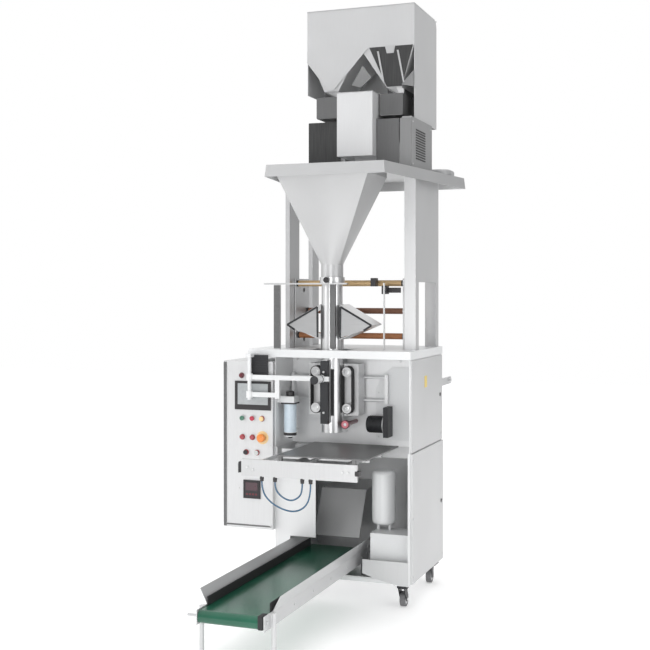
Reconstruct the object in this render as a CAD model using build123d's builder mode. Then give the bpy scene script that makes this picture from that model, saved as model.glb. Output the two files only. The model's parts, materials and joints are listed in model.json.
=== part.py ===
from build123d import *
from math import pi, radians, tan
import os

# Vertical form fill sealer with a two-head linear weigher and a take-off conveyor.
#
# Spans are measured in millimetres from the forming tube's axis (x to the right, y to the back) and from the
# floor (z up). Three helpers, spot, block and rod, turn them into the machine's own frame, whose origin is on
# the floor in the middle of the whole machine.

# ---- Frame and fits ----------------------------------------------------------------------------------
TUBE_X, TUBE_Y = 13.5, 166.5            # forming-tube axis in the machine's frame
GAP = 0.3                               # between pieces that move past each other
RUN = 0.05                              # radial clearance of a running fit
SHEET = 3.0                             # cabinet sheet

# ---- Heights -----------------------------------------------------------------------------------------
BASE_Z = 120.0                          # underside of the cabinet, on its casters
LOWER_H, UPPER_H = 660.0, 470.0         # cabinet sections below and above the seam
TOP_H = 40.0                            # folded top plate
TOWER_H = 927.0                         # columns between top plate and deck
DECK_T, SKIRT_H = 10.0, 60.0            # platform plate and its flared skirt
SEAM_Z = BASE_Z + LOWER_H
PLATE_Z = SEAM_Z + UPPER_H
TOP_Z = PLATE_Z + TOP_H
DECK_Z = TOP_Z + TOWER_H
DECK_TOP = DECK_Z + DECK_T

# ---- Cabinet -----------------------------------------------------------------------------------------
BODY_X, BODY_Y = (-280.0, 450.0), (-100.0, 520.0)
BAY_LEFT = -55.0                        # left edge of the open lower bay
SLOT_H = 90.0                           # full-width slot under the seam for the jaws
SILL_H = 20.0                           # sheet left under the open bay
MOUNT_Y, MOUNT_T = 140.0, 8.0           # mounting plate of the film drive
PANEL_IN, LOWER_PANEL_T, UPPER_PANEL_T = 6.0, 12.0, 6.0
TOP_X, TOP_Y = (-430.0, 455.0), (-110.0, 525.0)
TOP_SHEET = 5.0
TUBE_CUT_X, TUBE_CUT_Y = (-110.0, 110.0), (-85.0, 105.0)
SKIRT_X, SKIRT_Z, SKIRT_TOP = (200.0, 440.0), 165.0, 235.0
CURVE_DROP = 50.0                       # fall of the skirt's curved lower edge
VALVE_X, VALVE_Y, VALVE_H = (225.0, 430.0), (-50.0, 110.0), 236.0

# ---- Casters -----------------------------------------------------------------------------------------
CASTER_X, CASTER_Y = (-230.0, 400.0), (-60.0, 460.0)
WHEEL_R, WHEEL_W, WHEEL_OFFSET = 37.5, 26.0, 24.0
AXLE_R, FORK_T, HEAD_R, HEAD_H = 5.0, 3.0, 30.0, 14.0
PAD_SIZE, PAD_T = 80.0, 5.0
KING_R = 8.0

# ---- Tower and platform ------------------------------------------------------------------------------
POST_X, POST_Y, POST_SIZE = 375.0, (55.0, 455.0), 60.0
LEG_X, LEG_Y = (-288.0, -264.0), (60.0, 200.0)
REAR_LEG_Y = (400.0, 500.0)
WINDOW_H = 350.0                        # open height below the side sheet
GUSSET_W, GUSSET_H = 190.0, 260.0
DECK_X, DECK_FRONT_Y, DECK_REAR_Y, DECK_FRONT_W, DECK_REAR_W = 77.0, -338.0, 690.0, 630.0, 936.0
DECK_SHEET, FLARE = 3.0, 6.0
DECK_HOLE_X, DECK_HOLE_Y = (-225.0, 225.0), (-135.0, 135.0)
RISER_X, RISER_Y, RISER_H, RISER_R = (300.0, 500.0), (485.0, 665.0), 36.0, 60.0

# ---- Weigher -----------------------------------------------------------------------------------------
BOX_H = 269.0                           # electronics box on the deck
BOX_X, BOX_Y, BOX_REAR_Y = (-180.0, 410.0), (65.0, 470.0), 300.0
BOX_LEFT_Y = 130.0
CHUTE_X, CHUTE_Y, CHUTE_LIFT, CHUTE_H = (26.0, 220.0), (0.0, 280.0), 67.0, 331.0
HOOD_X, HOOD_Y = (-200.0, 400.0), (155.0, 605.0)
HOOD_SHEET, HOOD_R = 3.0, 45.0
HOOD_FRONT, HOOD_TOP = 653.0, 873.0     # front panel's lower edge and the rim, above the deck
HEAD_X = (-62.0, 290.0)                 # middle of each weigh head
OUTLET_H, OUTLET_W, OUTLET_D = 437.0, 80.0, 230.0
LEFT_SKIRT_H = 423.0
TRAY_W, TRAY_Y, TRAY_WALL, TRAY_DEPTH = 92.0, (185.0, 560.0), 2.0, 26.0
TRAY_H = 407.0                          # tray floor above the deck
BUCKET_W, BUCKET_Y, BUCKET_H, BUCKET_DROP = 127.0, (100.0, 240.0), 110.0, 20.0
BUCKET_WALL, FLAP_T, HINGE_R = 2.0, 3.0, 4.0
DRIVE_W, DRIVE_Y = 64.0, (300.0, 460.0)
POCKET_W, POCKET_H = 140.0, 135.0       # room under each bucket for its open flap

# ---- Forming set -------------------------------------------------------------------------------------
TUBE_R, TUBE_WALL = 55.0, 2.5
TUBE_Z = (860.0, 1660.0)
FUNNEL_W, FUNNEL_D, FUNNEL_WALL = 496.0, 320.0, 2.5
FUNNEL_CONE_H, NECK_H = 460.0, 95.0
CLAMP_H, CLAMP_T, CLAMP_SCREW_R = 30.0, 8.0, 9.0
COLLAR_LOW, COLLAR_EDGE, COLLAR_HIGH = 55.0, 132.0, 235.0   # wing heights above the top plate
COLLAR_W, COLLAR_Y, COLLAR_T = 235.0, (-50.0, 110.0), 3.0

# ---- Film path ---------------------------------------------------------------------------------------
FILM_X, FILM_Y, FILM_T = (-262.0, 350.0), (130.0, 330.0), 6.0
FILM_H = 370.0                          # side plates above the top plate
ROLLER_R, ROLLER_PIN_R = 16.0, 5.0
ROLLERS = {"roller_upper": (150.0, 345.0), "roller_middle": (300.0, 196.0), "roller_lower": (165.0, 66.0)}
RAIL_X, RAIL_Y, RAIL_T = (-350.0, 110.0), (-88.0, -62.0), 8.0
STRIP_X, STRIP_T, STRIP_HOLE_R = (-294.0, -256.0), 8.0, 7.0
SLIM_POST_X = 262.0
REEL_ARM_X, REEL_ARM_Z, REEL_Y, REEL_ARM_T = (-235.0, 395.0), 1075.0, 880.0, 10.0
REEL_ARM_H, REEL_ARM_END = 40.0, 920.0
REEL_SHAFT_R, CONE_R, CONE_L, CONE_INSET = 12.5, 38.0, 45.0, 90.0

# ---- Pull belts --------------------------------------------------------------------------------------
BELT_FACE, BELT_T, BELT_W = 57.0, 4.0, 40.0
PULLEY_R, PULLEY_Z = 25.0, (985.0, 1175.0)
SPINDLE_R = 6.0
CARRIAGE_T, CARRIAGE_W, CARRIAGE_Z = 8.0, 80.0, (945.0, 1215.0)
SLIDE_R, SLIDE_Y, SLIDE_Z, SLIDE_X = 8.0, 112.0, (1020.0, 1140.0), 262.0
DRIVE_R = 26.0

# ---- Vertical seal -----------------------------------------------------------------------------------
PIVOT_X, PIVOT_Y, PIVOT_R, PIVOT_Z = -395.0, -172.0, 10.0, 1030.0
SLEEVE_R, SLEEVE_H = 17.0, 36.0
ARM_H, ARM_T, ARM_END, ARM_Z = 24.0, 14.0, 45.0, 1130.0
LOW_ARM_END, LOW_ARM_Z = -225.0, 1040.0
SEAL_W, SEAL_Y, SEAL_Z = 36.0, (-122.0, -88.0), (912.0, 1240.0)
SEAL_TRAVEL, AIR_R, AIR_BORE, AIR_ROD_R, AIR_L = 28.0, 20.0, 15.0, 6.0, 90.0

# ---- Cross seal --------------------------------------------------------------------------------------
JAW_Z, JAW_W, JAW_H, JAW_T, JAW_OPEN = 750.0, 300.0, 60.0, 45.0, 40.0
YOKE_W, YOKE_T, YOKE_H = 480.0, 22.0, 50.0
GUIDE_X, GUIDE_R = 215.0, 12.5
FRONT_BAR_X, FRONT_BAR_Y, BAR_H, BAR_T = (-245.0, 340.0), -585.0, 80.0, 16.0
REAR_BAR_Y = 200.0
RAM_R, RAM_BORE, RAM_ROD_R, RAM_L = 32.0, 25.0, 8.0, 190.0
BLADE_W, BLADE_T, BLADE_D = 260.0, 2.0, 34.0
GUARD_X, GUARD_Y, GUARD_Z, GUARD_T = (-60.0, 390.0), (-560.0, -102.0), 812.0, 6.0

# ---- Controls ----------------------------------------------------------------------------------------
CONTROL_X, CONTROL_Y, CONTROL_Z = (-560.0, -280.0), (-130.0, 250.0), (353.0, 1227.0)
CONTROL_PANEL_T, DOOR_T, DOOR_MARGIN = 4.0, 12.0, 14.0
SCREEN_W, SCREEN_H, SCREEN_DEPTH, SCREEN_PROUD = 204.0, 150.0, 34.0, 8.0
SCREEN_X, SCREEN_Z = -392.0, 1048.0
GAUGE_SIZE, GAUGE_X, GAUGE_Z = 96.0, -397.0, 558.0
BUTTON_R, BUTTON_HOLE_R, BUTTON_TRAVEL = 11.0, 11.2, 4.0
COLLAR_R, COLLAR_PROUD = 15.0, 4.0
BUTTON_X = (-451.0, -394.0, -340.0)
KNOB_X = (-430.0, -369.0)
BUTTON_Z = (929.0, 830.0, 751.0)
STOP_X, STOP_R = -338.0, 20.0
HINGE_PIN_R, HINGE_L = 4.0, 60.0

# ---- Discharge and conveyor --------------------------------------------------------------------------
PLATE_W, PLATE_TOP, PLATE_FOOT, PLATE_T = 250.0, (190.0, 531.0), (70.0, 300.0), 3.0
BELT_WIDTH, BELT_SHEET = 300.0, 3.0
CONVEYOR_Y, CONVEYOR_Z, CONVEYOR_R = (-1225.0, 95.0), 215.0, 25.0
FRAME_T, FRAME_H, FRAME_GAP = 4.0, 64.0, 3.0
SHAFT_R = 8.0
GUIDE_TOP, GUIDE_Y, GUIDE_FLARE = 312.0, (-1150.0, 80.0), 34.0
LEG_R, LEG_PLACE_Y, FOOT_R, FOOT_H = 11.0, -1175.0, 20.0, 8.0
GEAR_L, GEAR_W = 96.0, 60.0

# ---- Pneumatics --------------------------------------------------------------------------------------
TANK_R, TANK_X, TANK_Y, TANK_Z = 61.5, 264.0, 60.0, (389.0, 666.0)
INLET_R, INLET_L = 6.6, 14.0            # G1/4 thread
GLAND_R = 10.0                          # M20 cable entry
FITTING_R, FITTING_H = 8.0, 20.0
INLET_X, INLET_Z, INLET_BODY_R = 264.0, 300.0, 12.0
GLAND_X, GLAND_Y, GLAND_BODY_R, GLAND_H = -420.0, 60.0, 16.0, 22.0
DIAL_X, DIAL_Y, DIAL_Z, DIAL_R, DIAL_T = 84.0, -22.0, 905.0, 22.0, 16.0
MOTOR_X, MOTOR_Y, MOTOR_Z, MOTOR_R = (170.0, 262.0), 90.0, 898.0, 42.0
BOWL_X, BOWL_Y, BOWL_Z, BOWL_R = -216.0, -50.0, (834.0, 1010.0), 32.0
BOWL_CAP_H, BOWL_CAP_W, BOWL_BRACKET = 34.0, 72.0, (-70.0, -30.0)
FLANGE_T, FLANGE_Z = 26.0, (834.0, 990.0)
HOSE_R, HOSE_Y = 4.0, -593.0
OUTER_HOSE = [(-141, 0, 690), (-141, 0, 652), (-110, -8, 604), (-45, -10, 566), (28, -6, 551), (86, -2, 580),
              (108, 0, 640), (108, 0, 690)]
INNER_HOSE = [(-73, 0, 690), (-73, 0, 654), (-42, 8, 616), (4, 9, 600), (46, 6, 619), (66, 0, 652),
              (66, 0, 690)]


def spot(x, y, z):
    """Point in the machine's frame from the distances to the tube's axis and the floor."""
    return (TUBE_X + x, TUBE_Y + y, z)


def block(x, y, z, mode=Mode.ADD):
    """Box that fills three spans."""
    middle = spot(sum(x) / 2, sum(y) / 2, sum(z) / 2)
    with Locations(middle):
        Box(x[1] - x[0], y[1] - y[0], z[1] - z[0], mode=mode)


def rod(start, along, length, radius, mode=Mode.ADD):
    """Round bar or bore from a point along a direction."""
    with Locations(Plane(origin=spot(*start), z_dir=along)):
        Cylinder(radius, length, align=(Align.CENTER, Align.CENTER, Align.MIN), mode=mode)


def prism(plane, points, depth, mode=Mode.ADD, taper=0.0):
    """Straight extrusion of a closed outline drawn on a plane."""
    with BuildSketch(plane) as outline:
        with BuildLine():
            Polyline(*points, close=True)
        make_face()
    extrude(outline.sketch, amount=depth, taper=taper, mode=mode)


def facing_front(x, y, z):
    """Upright plane seen from the front: its x is the machine's x, its y is up."""
    return Plane(origin=spot(x, y, z), x_dir=(1, 0, 0), z_dir=(0, -1, 0))


def facing_right(x, y, z):
    """Upright plane seen from the right: its x runs to the back, its y is up."""
    return Plane(origin=spot(x, y, z), x_dir=(0, 1, 0), z_dir=(1, 0, 0))


def inset(span, amount):
    return (span[0] + amount, span[1] - amount)


def around(middle, width):
    return (middle - width / 2, middle + width / 2)


RIGHT, BACK, UP = (1, 0, 0), (0, 1, 0), (0, 0, 1)
LEFT, FRONT, DOWN = (-1, 0, 0), (0, -1, 0), (0, 0, -1)
pieces = {}

# ---- Cabinet -----------------------------------------------------------------------------------------
with BuildPart() as lower_cabinet:
    block(BODY_X, BODY_Y, (BASE_Z, SEAM_Z))
    block(inset(BODY_X, SHEET), inset(BODY_Y, SHEET), (BASE_Z + SHEET, SEAM_Z), Mode.SUBTRACT)
    front_wall = (BODY_Y[0] - SHEET, BODY_Y[0] + 2 * SHEET)
    block((BAY_LEFT, BODY_X[1] - 4 * SHEET), front_wall, (BASE_Z + SILL_H, SEAM_Z), Mode.SUBTRACT)
    block(inset(BODY_X, 4 * SHEET), front_wall, (SEAM_Z - SLOT_H, SEAM_Z), Mode.SUBTRACT)
    lane = BELT_WIDTH / 2 + GUIDE_FLARE + 4 * SHEET
    block((-lane, lane), front_wall, (BASE_Z + SILL_H, GUIDE_TOP + 4 * SHEET), Mode.SUBTRACT)
    for caster_x in CASTER_X:
        block(around(caster_x, PAD_SIZE), around(CASTER_Y[0], PAD_SIZE), (BASE_Z - PAD_T, BASE_Z))
pieces["lower_cabinet"] = lower_cabinet

BLOCK_Y = (SLIDE_Y - 1.25 * SLIDE_R, SLIDE_Y + 1.25 * SLIDE_R)
with BuildPart() as upper_housing:
    block(BODY_X, BODY_Y, (SEAM_Z, PLATE_Z))
    block(inset(BODY_X, SHEET), (BODY_Y[0] - SHEET, BODY_Y[1] - SHEET), (SEAM_Z - SHEET, PLATE_Z + SHEET),
          Mode.SUBTRACT)
    block(inset(BODY_X, SHEET), (MOUNT_Y, MOUNT_Y + MOUNT_T), (SEAM_Z, PLATE_Z))
    for rod_z in SLIDE_Z:
        rod((-SLIDE_X, SLIDE_Y, rod_z), RIGHT, 2 * SLIDE_X, SLIDE_R)
    for post_x in (-SLIDE_X, SLIDE_X):
        post_z = (SLIDE_Z[0] - 2 * SLIDE_R, SLIDE_Z[1] + 2 * SLIDE_R)
        block(around(post_x, 2 * SLIDE_R), (BLOCK_Y[0], MOUNT_Y), post_z)
pieces["upper_housing"] = upper_housing

with BuildPart() as body_panels:
    panel_y = inset(BODY_Y, PANEL_IN)
    block((BODY_X[1], BODY_X[1] + LOWER_PANEL_T), panel_y, (BASE_Z + PANEL_IN, SEAM_Z - PANEL_IN / 2))
    block((BODY_X[1], BODY_X[1] + UPPER_PANEL_T), panel_y, (SEAM_Z + PANEL_IN / 2, PLATE_Z - PANEL_IN))
    fillet(body_panels.faces().sort_by(Axis.X)[-1].edges(), SHEET)
    with BuildSketch(facing_front(0, BODY_Y[0], 0)) as skirt_outline:
        with BuildLine():
            left, right = SKIRT_X
            Polyline((left, SKIRT_TOP), (right, SKIRT_TOP), (right, SKIRT_Z - CURVE_DROP))
            middle = ((left + right) / 2, SKIRT_Z - 0.7 * CURVE_DROP)
            ThreePointArc((right, SKIRT_Z - CURVE_DROP), middle, (left, SKIRT_Z))
            Line((left, SKIRT_Z), (left, SKIRT_TOP))
        make_face()
    extrude(skirt_outline.sketch, amount=SHEET)
pieces["body_panels"] = body_panels

with BuildPart() as top_plate:
    block(TOP_X, TOP_Y, (PLATE_Z, TOP_Z))
    hollow_z = (PLATE_Z - TOP_SHEET, TOP_Z - TOP_SHEET)
    block(inset(TOP_X, TOP_SHEET), inset(TOP_Y, TOP_SHEET), hollow_z, Mode.SUBTRACT)
    block(BODY_X, BODY_Y, (PLATE_Z, TOP_Z))
    block(inset(BODY_X, 2 * SHEET), inset(BODY_Y, 2 * SHEET), hollow_z, Mode.SUBTRACT)
    block(TUBE_CUT_X, TUBE_CUT_Y, (PLATE_Z, TOP_Z), Mode.SUBTRACT)
    block(around(PIVOT_X, 3 * PIVOT_R), (PIVOT_Y - 2 * PIVOT_R, TOP_Y[0]), (PLATE_Z, PLATE_Z + 2 * PIVOT_R))
    rod((PIVOT_X, PIVOT_Y, PIVOT_Z), UP, PLATE_Z - PIVOT_Z, PIVOT_R)
pieces["top_plate"] = top_plate

# ---- Casters: front ones swivel, rear ones are fixed ---------------------------------------------------
HUB_Z = WHEEL_R
FORK_TOP = BASE_Z - PAD_T
front_y, rear_y = CASTER_Y


def caster_wheel(x, y):
    """Wheel with its axle bore, on an axle along x."""
    rod((x - WHEEL_W / 2, y, HUB_Z), RIGHT, WHEEL_W, WHEEL_R)
    rod((x - WHEEL_W / 2, y, HUB_Z), RIGHT, WHEEL_W, AXLE_R + RUN, Mode.SUBTRACT)


def fork_arms(x, y, trail):
    """Two cheeks, the head and the axle of a caster whose axle trails its kingpin."""
    cheek = WHEEL_W / 2 + 1
    outline = [(-HEAD_R, 0), (HEAD_R, 0), (trail + 2 * AXLE_R, HUB_Z - FORK_TOP + HEAD_H - 2 * AXLE_R),
               (trail - 2 * AXLE_R, HUB_Z - FORK_TOP + HEAD_H - 2 * AXLE_R)]
    for start in (x - cheek - FORK_T, x + cheek):
        prism(facing_right(start, y, FORK_TOP - HEAD_H), outline, FORK_T)
    rod((x - cheek - FORK_T, y + trail, HUB_Z), RIGHT, 2 * (cheek + FORK_T), AXLE_R)
    rod((x, y, FORK_TOP - HEAD_H - FORK_T), UP, HEAD_H - GAP, HEAD_R)


for side_name, caster_x in zip(("left", "right"), CASTER_X):
    with BuildPart() as front_fork:
        fork_arms(caster_x, front_y, WHEEL_OFFSET)
        rod((caster_x, front_y, FORK_TOP - HEAD_H), UP, HEAD_H, KING_R)
    pieces[f"front_fork_{side_name}"] = front_fork
    with BuildPart() as front_wheel:
        caster_wheel(caster_x, front_y + WHEEL_OFFSET)
    pieces[f"front_wheel_{side_name}"] = front_wheel

with BuildPart() as rear_forks:
    for caster_x in CASTER_X:
        fork_arms(caster_x, rear_y, 0)
        block(around(caster_x, PAD_SIZE), around(rear_y, PAD_SIZE), (FORK_TOP - HEAD_H, BASE_Z))
pieces["rear_forks"] = rear_forks

with BuildPart() as rear_wheels:
    for caster_x in CASTER_X:
        caster_wheel(caster_x, rear_y)
pieces["rear_wheels"] = rear_wheels

# ---- Tower and platform ------------------------------------------------------------------------------
with BuildPart() as tower_frame:
    for post_y in POST_Y:
        block((POST_X, POST_X + POST_SIZE), (post_y, post_y + POST_SIZE), (TOP_Z, DECK_Z))
    sheet_y = (POST_Y[0] + POST_SIZE, POST_Y[1])
    sheet_x = (POST_X + POST_SIZE - SHEET, POST_X + POST_SIZE)
    block(sheet_x, sheet_y, (TOP_Z + WINDOW_H, DECK_Z))
    for leg_y in (LEG_Y, REAR_LEG_Y):
        block(LEG_X, leg_y, (TOP_Z, DECK_Z))
    with BuildSketch(facing_right(LEG_X[0], LEG_Y[1], DECK_Z)) as gusset:
        with BuildLine():
            Polyline((0, -GUSSET_H), (0, 0), (GUSSET_W, 0))
            ThreePointArc((GUSSET_W, 0), (0.37 * GUSSET_W, -0.37 * GUSSET_H), (0, -GUSSET_H))
        make_face()
    extrude(gusset.sketch, amount=LEG_X[1] - LEG_X[0])
pieces["tower_frame"] = tower_frame


def deck_outline(grow):
    """Platform's plan, narrow at the front, grown outwards by an amount."""
    front_half, rear_half = DECK_FRONT_W / 2 + grow, DECK_REAR_W / 2 + grow
    front_edge, rear_edge = DECK_FRONT_Y - grow, DECK_REAR_Y + grow
    return [(DECK_X - front_half, front_edge), (DECK_X + front_half, front_edge),
            (DECK_X + rear_half, rear_edge), (DECK_X - rear_half, rear_edge)]


with BuildPart() as platform:
    for grow, height, how in ((0, SKIRT_H, Mode.ADD), (-DECK_SHEET, SKIRT_H - DECK_T, Mode.SUBTRACT)):
        bottom = Plane(origin=spot(0, 0, DECK_TOP - SKIRT_H))
        with BuildSketch(bottom) as low_plan:
            Polygon(*deck_outline(grow), align=None)
        with BuildSketch(bottom.offset(height)) as high_plan:
            Polygon(*deck_outline(grow - FLARE * height / SKIRT_H), align=None)
        loft([low_plan.sketch, high_plan.sketch], mode=how)
    block(DECK_HOLE_X, DECK_HOLE_Y, (DECK_Z, DECK_TOP), Mode.SUBTRACT)
    block(RISER_X, RISER_Y, (DECK_TOP, DECK_TOP + RISER_H))
    riser_edges = platform.edges().filter_by(Axis.Z).filter_by_position(Axis.Z, DECK_TOP, DECK_TOP + RISER_H)
    fillet(riser_edges, RISER_R)
    fillet(platform.faces().sort_by(Axis.Z)[-1].edges(), RISER_H / 3)
pieces["platform"] = platform

# ---- Weigher -----------------------------------------------------------------------------------------
BOX_TOP = DECK_TOP + BOX_H
HOOD_MIDDLE = sum(HOOD_X) / 2
HEAD_REACH = (HOOD_X[1] - HOOD_X[0]) / 4
MOUTH_X = (HOOD_MIDDLE - HEAD_REACH, HOOD_MIDDLE + HEAD_REACH)
OUTLET_Z, TRAY_Z = DECK_TOP + OUTLET_H, DECK_TOP + TRAY_H

with BuildPart() as weigher_base:
    block((CHUTE_X[1], BOX_X[1]), BOX_Y, (DECK_TOP, BOX_TOP))
    block((BOX_X[0], CHUTE_X[0]), (BOX_LEFT_Y, BOX_Y[1]), (DECK_TOP, BOX_TOP))
    block(CHUTE_X, (BOX_REAR_Y, BOX_Y[1]), (DECK_TOP, BOX_TOP))
    for pocket_x in ((HEAD_X[0] - POCKET_W / 2, CHUTE_X[0]), (CHUTE_X[1], HEAD_X[1] + POCKET_W / 2)):
        block(pocket_x, (BOX_Y[0], BUCKET_Y[1] + 4 * HINGE_R), (BOX_TOP - POCKET_H, BOX_TOP), Mode.SUBTRACT)
pieces["weigher_base"] = weigher_base

def hopper_part(mouth_x, outlet_x, shrink, drop):
    """Pyramid under one half of the hood; shrink makes the hollow that is cut from it."""
    top_half = HEAD_REACH - shrink
    top_y = inset((HOOD_Y[0] + HOOD_SHEET, HOOD_Y[1] - HOOD_SHEET), shrink)
    low_y = inset((HOOD_Y[0] + HOOD_SHEET, HOOD_Y[0] + HOOD_SHEET + OUTLET_D), shrink)
    with BuildSketch(Plane(origin=spot(mouth_x, sum(top_y) / 2, DECK_TOP + HOOD_FRONT + drop))) as mouth:
        Rectangle(2 * top_half - 2 * HOOD_SHEET, top_y[1] - top_y[0])
    with BuildSketch(Plane(origin=spot(outlet_x, sum(low_y) / 2, OUTLET_Z - drop))) as outlet:
        Rectangle(OUTLET_W - 2 * shrink, low_y[1] - low_y[0])
    loft([outlet.sketch, mouth.sketch], mode=Mode.ADD if drop == 0 else Mode.SUBTRACT)


with BuildPart() as weigher_hood:
    block(HOOD_X, HOOD_Y, (DECK_TOP + BOX_H, DECK_TOP + HOOD_TOP))
    corner = weigher_hood.edges().filter_by(Axis.X).group_by(Axis.Z)[-1].sort_by(Axis.Y)[-1]
    fillet(corner, HOOD_R)
    hollow_z = (BOX_TOP - SHEET, DECK_TOP + HOOD_TOP + SHEET)
    block(inset(HOOD_X, HOOD_SHEET), inset(HOOD_Y, HOOD_SHEET), hollow_z, Mode.SUBTRACT)
    front_wall = (HOOD_Y[0] - SHEET, HOOD_Y[0] + 2 * SHEET)
    block(inset(HOOD_X, -SHEET), front_wall, (BOX_TOP - SHEET, DECK_TOP + HOOD_FRONT), Mode.SUBTRACT)
    left_wall = (HOOD_X[0] - SHEET, HOOD_X[0] + 2 * SHEET)
    block(left_wall, inset(HOOD_Y, -SHEET), (BOX_TOP - SHEET, DECK_TOP + LEFT_SKIRT_H), Mode.SUBTRACT)
    for mouth_x, outlet_x in zip(MOUTH_X, HEAD_X):
        hopper_part(mouth_x, outlet_x, 0, 0)
    for mouth_x, outlet_x in zip(MOUTH_X, HEAD_X):
        hopper_part(mouth_x, outlet_x, HOOD_SHEET, GAP)
pieces["weigher_hood"] = weigher_hood

BUCKET_TOP = TRAY_Z - BUCKET_DROP / 2
BUCKET_Z = BUCKET_TOP - BUCKET_H
FLAP_Z = BUCKET_Z - GAP
with BuildPart() as weigh_heads:
    for outlet_x in HEAD_X:
        tray_x = around(outlet_x, TRAY_W)
        block(tray_x, TRAY_Y, (TRAY_Z, TRAY_Z + TRAY_DEPTH))
        block(inset(tray_x, TRAY_WALL), (TRAY_Y[0] - SHEET, TRAY_Y[1] - TRAY_WALL),
              (TRAY_Z + TRAY_WALL, TRAY_Z + TRAY_DEPTH + SHEET), Mode.SUBTRACT)
        block(around(outlet_x, DRIVE_W), DRIVE_Y, (BOX_TOP, TRAY_Z))
    for outlet_x in HEAD_X:
        bucket_x = around(outlet_x, BUCKET_W)
        block(bucket_x, BUCKET_Y, (BUCKET_Z, BUCKET_TOP))
        block(inset(bucket_x, BUCKET_WALL), inset(BUCKET_Y, BUCKET_WALL),
              (BUCKET_Z - SHEET, BUCKET_TOP + SHEET), Mode.SUBTRACT)
        hanger_z = (BUCKET_Z + 3 * HINGE_R, BUCKET_TOP - 2 * BUCKET_DROP)
        block(around(outlet_x, DRIVE_W / 2), (BUCKET_Y[1], DRIVE_Y[0]), hanger_z)
        rod((bucket_x[0], BUCKET_Y[1] + HINGE_R + GAP, BUCKET_Z), RIGHT, BUCKET_W, HINGE_R - 2)
        for ear_x in (bucket_x[0], bucket_x[1] - SHEET):
            ear_y = (BUCKET_Y[1] - SHEET, BUCKET_Y[1] + 3 * HINGE_R)
            block((ear_x, ear_x + SHEET), ear_y, around(BUCKET_Z + HINGE_R, 5 * HINGE_R))
pieces["weigh_heads"] = weigh_heads

for side_name, outlet_x in zip(("left", "right"), HEAD_X):
    with BuildPart() as bucket_flap:
        flap_x = inset(around(outlet_x, BUCKET_W), SHEET + GAP)
        pin_y = BUCKET_Y[1] + HINGE_R + GAP
        block(flap_x, (BUCKET_Y[0], pin_y), (FLAP_Z - FLAP_T, FLAP_Z))
        rod((flap_x[0], pin_y, BUCKET_Z), RIGHT, flap_x[1] - flap_x[0], HINGE_R)
        rod((flap_x[0], pin_y, BUCKET_Z), RIGHT, flap_x[1] - flap_x[0], HINGE_R - 2 + RUN, Mode.SUBTRACT)
    pieces[f"bucket_flap_{side_name}"] = bucket_flap

with BuildPart() as discharge_box:
    box_z = (DECK_TOP + CHUTE_LIFT, DECK_TOP + CHUTE_LIFT + CHUTE_H)
    block(CHUTE_X, CHUTE_Y, box_z)
    block(inset(CHUTE_X, SHEET), inset(CHUTE_Y, SHEET), (box_z[0] - SHEET, box_z[1] + SHEET), Mode.SUBTRACT)
pieces["discharge_box"] = discharge_box

# ---- Forming set -------------------------------------------------------------------------------------
NECK_R = TUBE_R + GAP + FUNNEL_WALL
NECK_Z = TUBE_Z[1] - NECK_H / 4
CONE_Z = NECK_Z + NECK_H
RIM_Z = CONE_Z + FUNNEL_CONE_H


def funnel_body(shrink, lap, mode):
    """Rim, cone and neck of the funnel, smaller by a wall for the hollow; lap runs past the ends."""
    with BuildSketch(Plane(origin=spot(0, 0, RIM_Z))) as mouth:
        Rectangle(FUNNEL_W - 2 * shrink, FUNNEL_D - 2 * shrink)
    with BuildSketch(Plane(origin=spot(0, 0, CONE_Z))) as throat:
        Circle(NECK_R - shrink)
    loft([throat.sketch, mouth.sketch], mode=mode)
    extrude(mouth.sketch, amount=DECK_Z - RIM_Z + lap, mode=mode)
    rod((0, 0, NECK_Z - lap), UP, CONE_Z - NECK_Z + lap, NECK_R - shrink, mode)


with BuildPart() as funnel:
    funnel_body(0, 0, Mode.ADD)
    funnel_body(FUNNEL_WALL, SHEET, Mode.SUBTRACT)
pieces["funnel"] = funnel

with BuildPart() as funnel_clamp:
    rod((0, 0, NECK_Z), UP, CLAMP_H, NECK_R + CLAMP_T)
    rod((0, 0, NECK_Z), UP, CLAMP_H, NECK_R, Mode.SUBTRACT)
    rod((0, -NECK_R - CLAMP_T / 2, NECK_Z + CLAMP_H / 2), FRONT, 2 * CLAMP_T, CLAMP_SCREW_R)
pieces["funnel_clamp"] = funnel_clamp

with BuildPart() as forming_tube:
    rod((0, 0, TUBE_Z[0]), UP, TUBE_Z[1] - TUBE_Z[0], TUBE_R)
    rod((0, 0, TUBE_Z[0]), UP, TUBE_Z[1] - TUBE_Z[0], TUBE_R - TUBE_WALL, Mode.SUBTRACT)
pieces["forming_tube"] = forming_tube

# The collar is a sleeve round the tube with two folded wings that slope down and out from its rim.
COLLAR_BORE = TUBE_R + SHEET
with BuildPart() as forming_collar:
    rod((0, 0, TOP_Z), UP, COLLAR_HIGH, COLLAR_BORE + COLLAR_T)
    for turn in (-1, 1):
        near, far = turn * (COLLAR_BORE - SHEET), turn * COLLAR_W
        for height, far_drop in ((COLLAR_HIGH, 0), (COLLAR_LOW, COLLAR_T / 2)):
            edge = COLLAR_EDGE - far_drop
            outline = [(near, height - COLLAR_T), (far, edge - COLLAR_T), (far, edge), (near, height)]
            prism(facing_front(0, COLLAR_Y[1], TOP_Z), outline, COLLAR_Y[1] - COLLAR_Y[0])
    rod((0, 0, TOP_Z - SHEET), UP, COLLAR_HIGH + 2 * SHEET, COLLAR_BORE, Mode.SUBTRACT)
    half_bore = COLLAR_BORE / 2
    opening_z = (TOP_Z - SHEET, TOP_Z + COLLAR_HIGH + SHEET)
    block(around(0, 2 * COLLAR_BORE + 3 * COLLAR_T), (-2 * COLLAR_BORE, -half_bore), opening_z, Mode.SUBTRACT)
pieces["forming_collar"] = forming_collar

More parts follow.
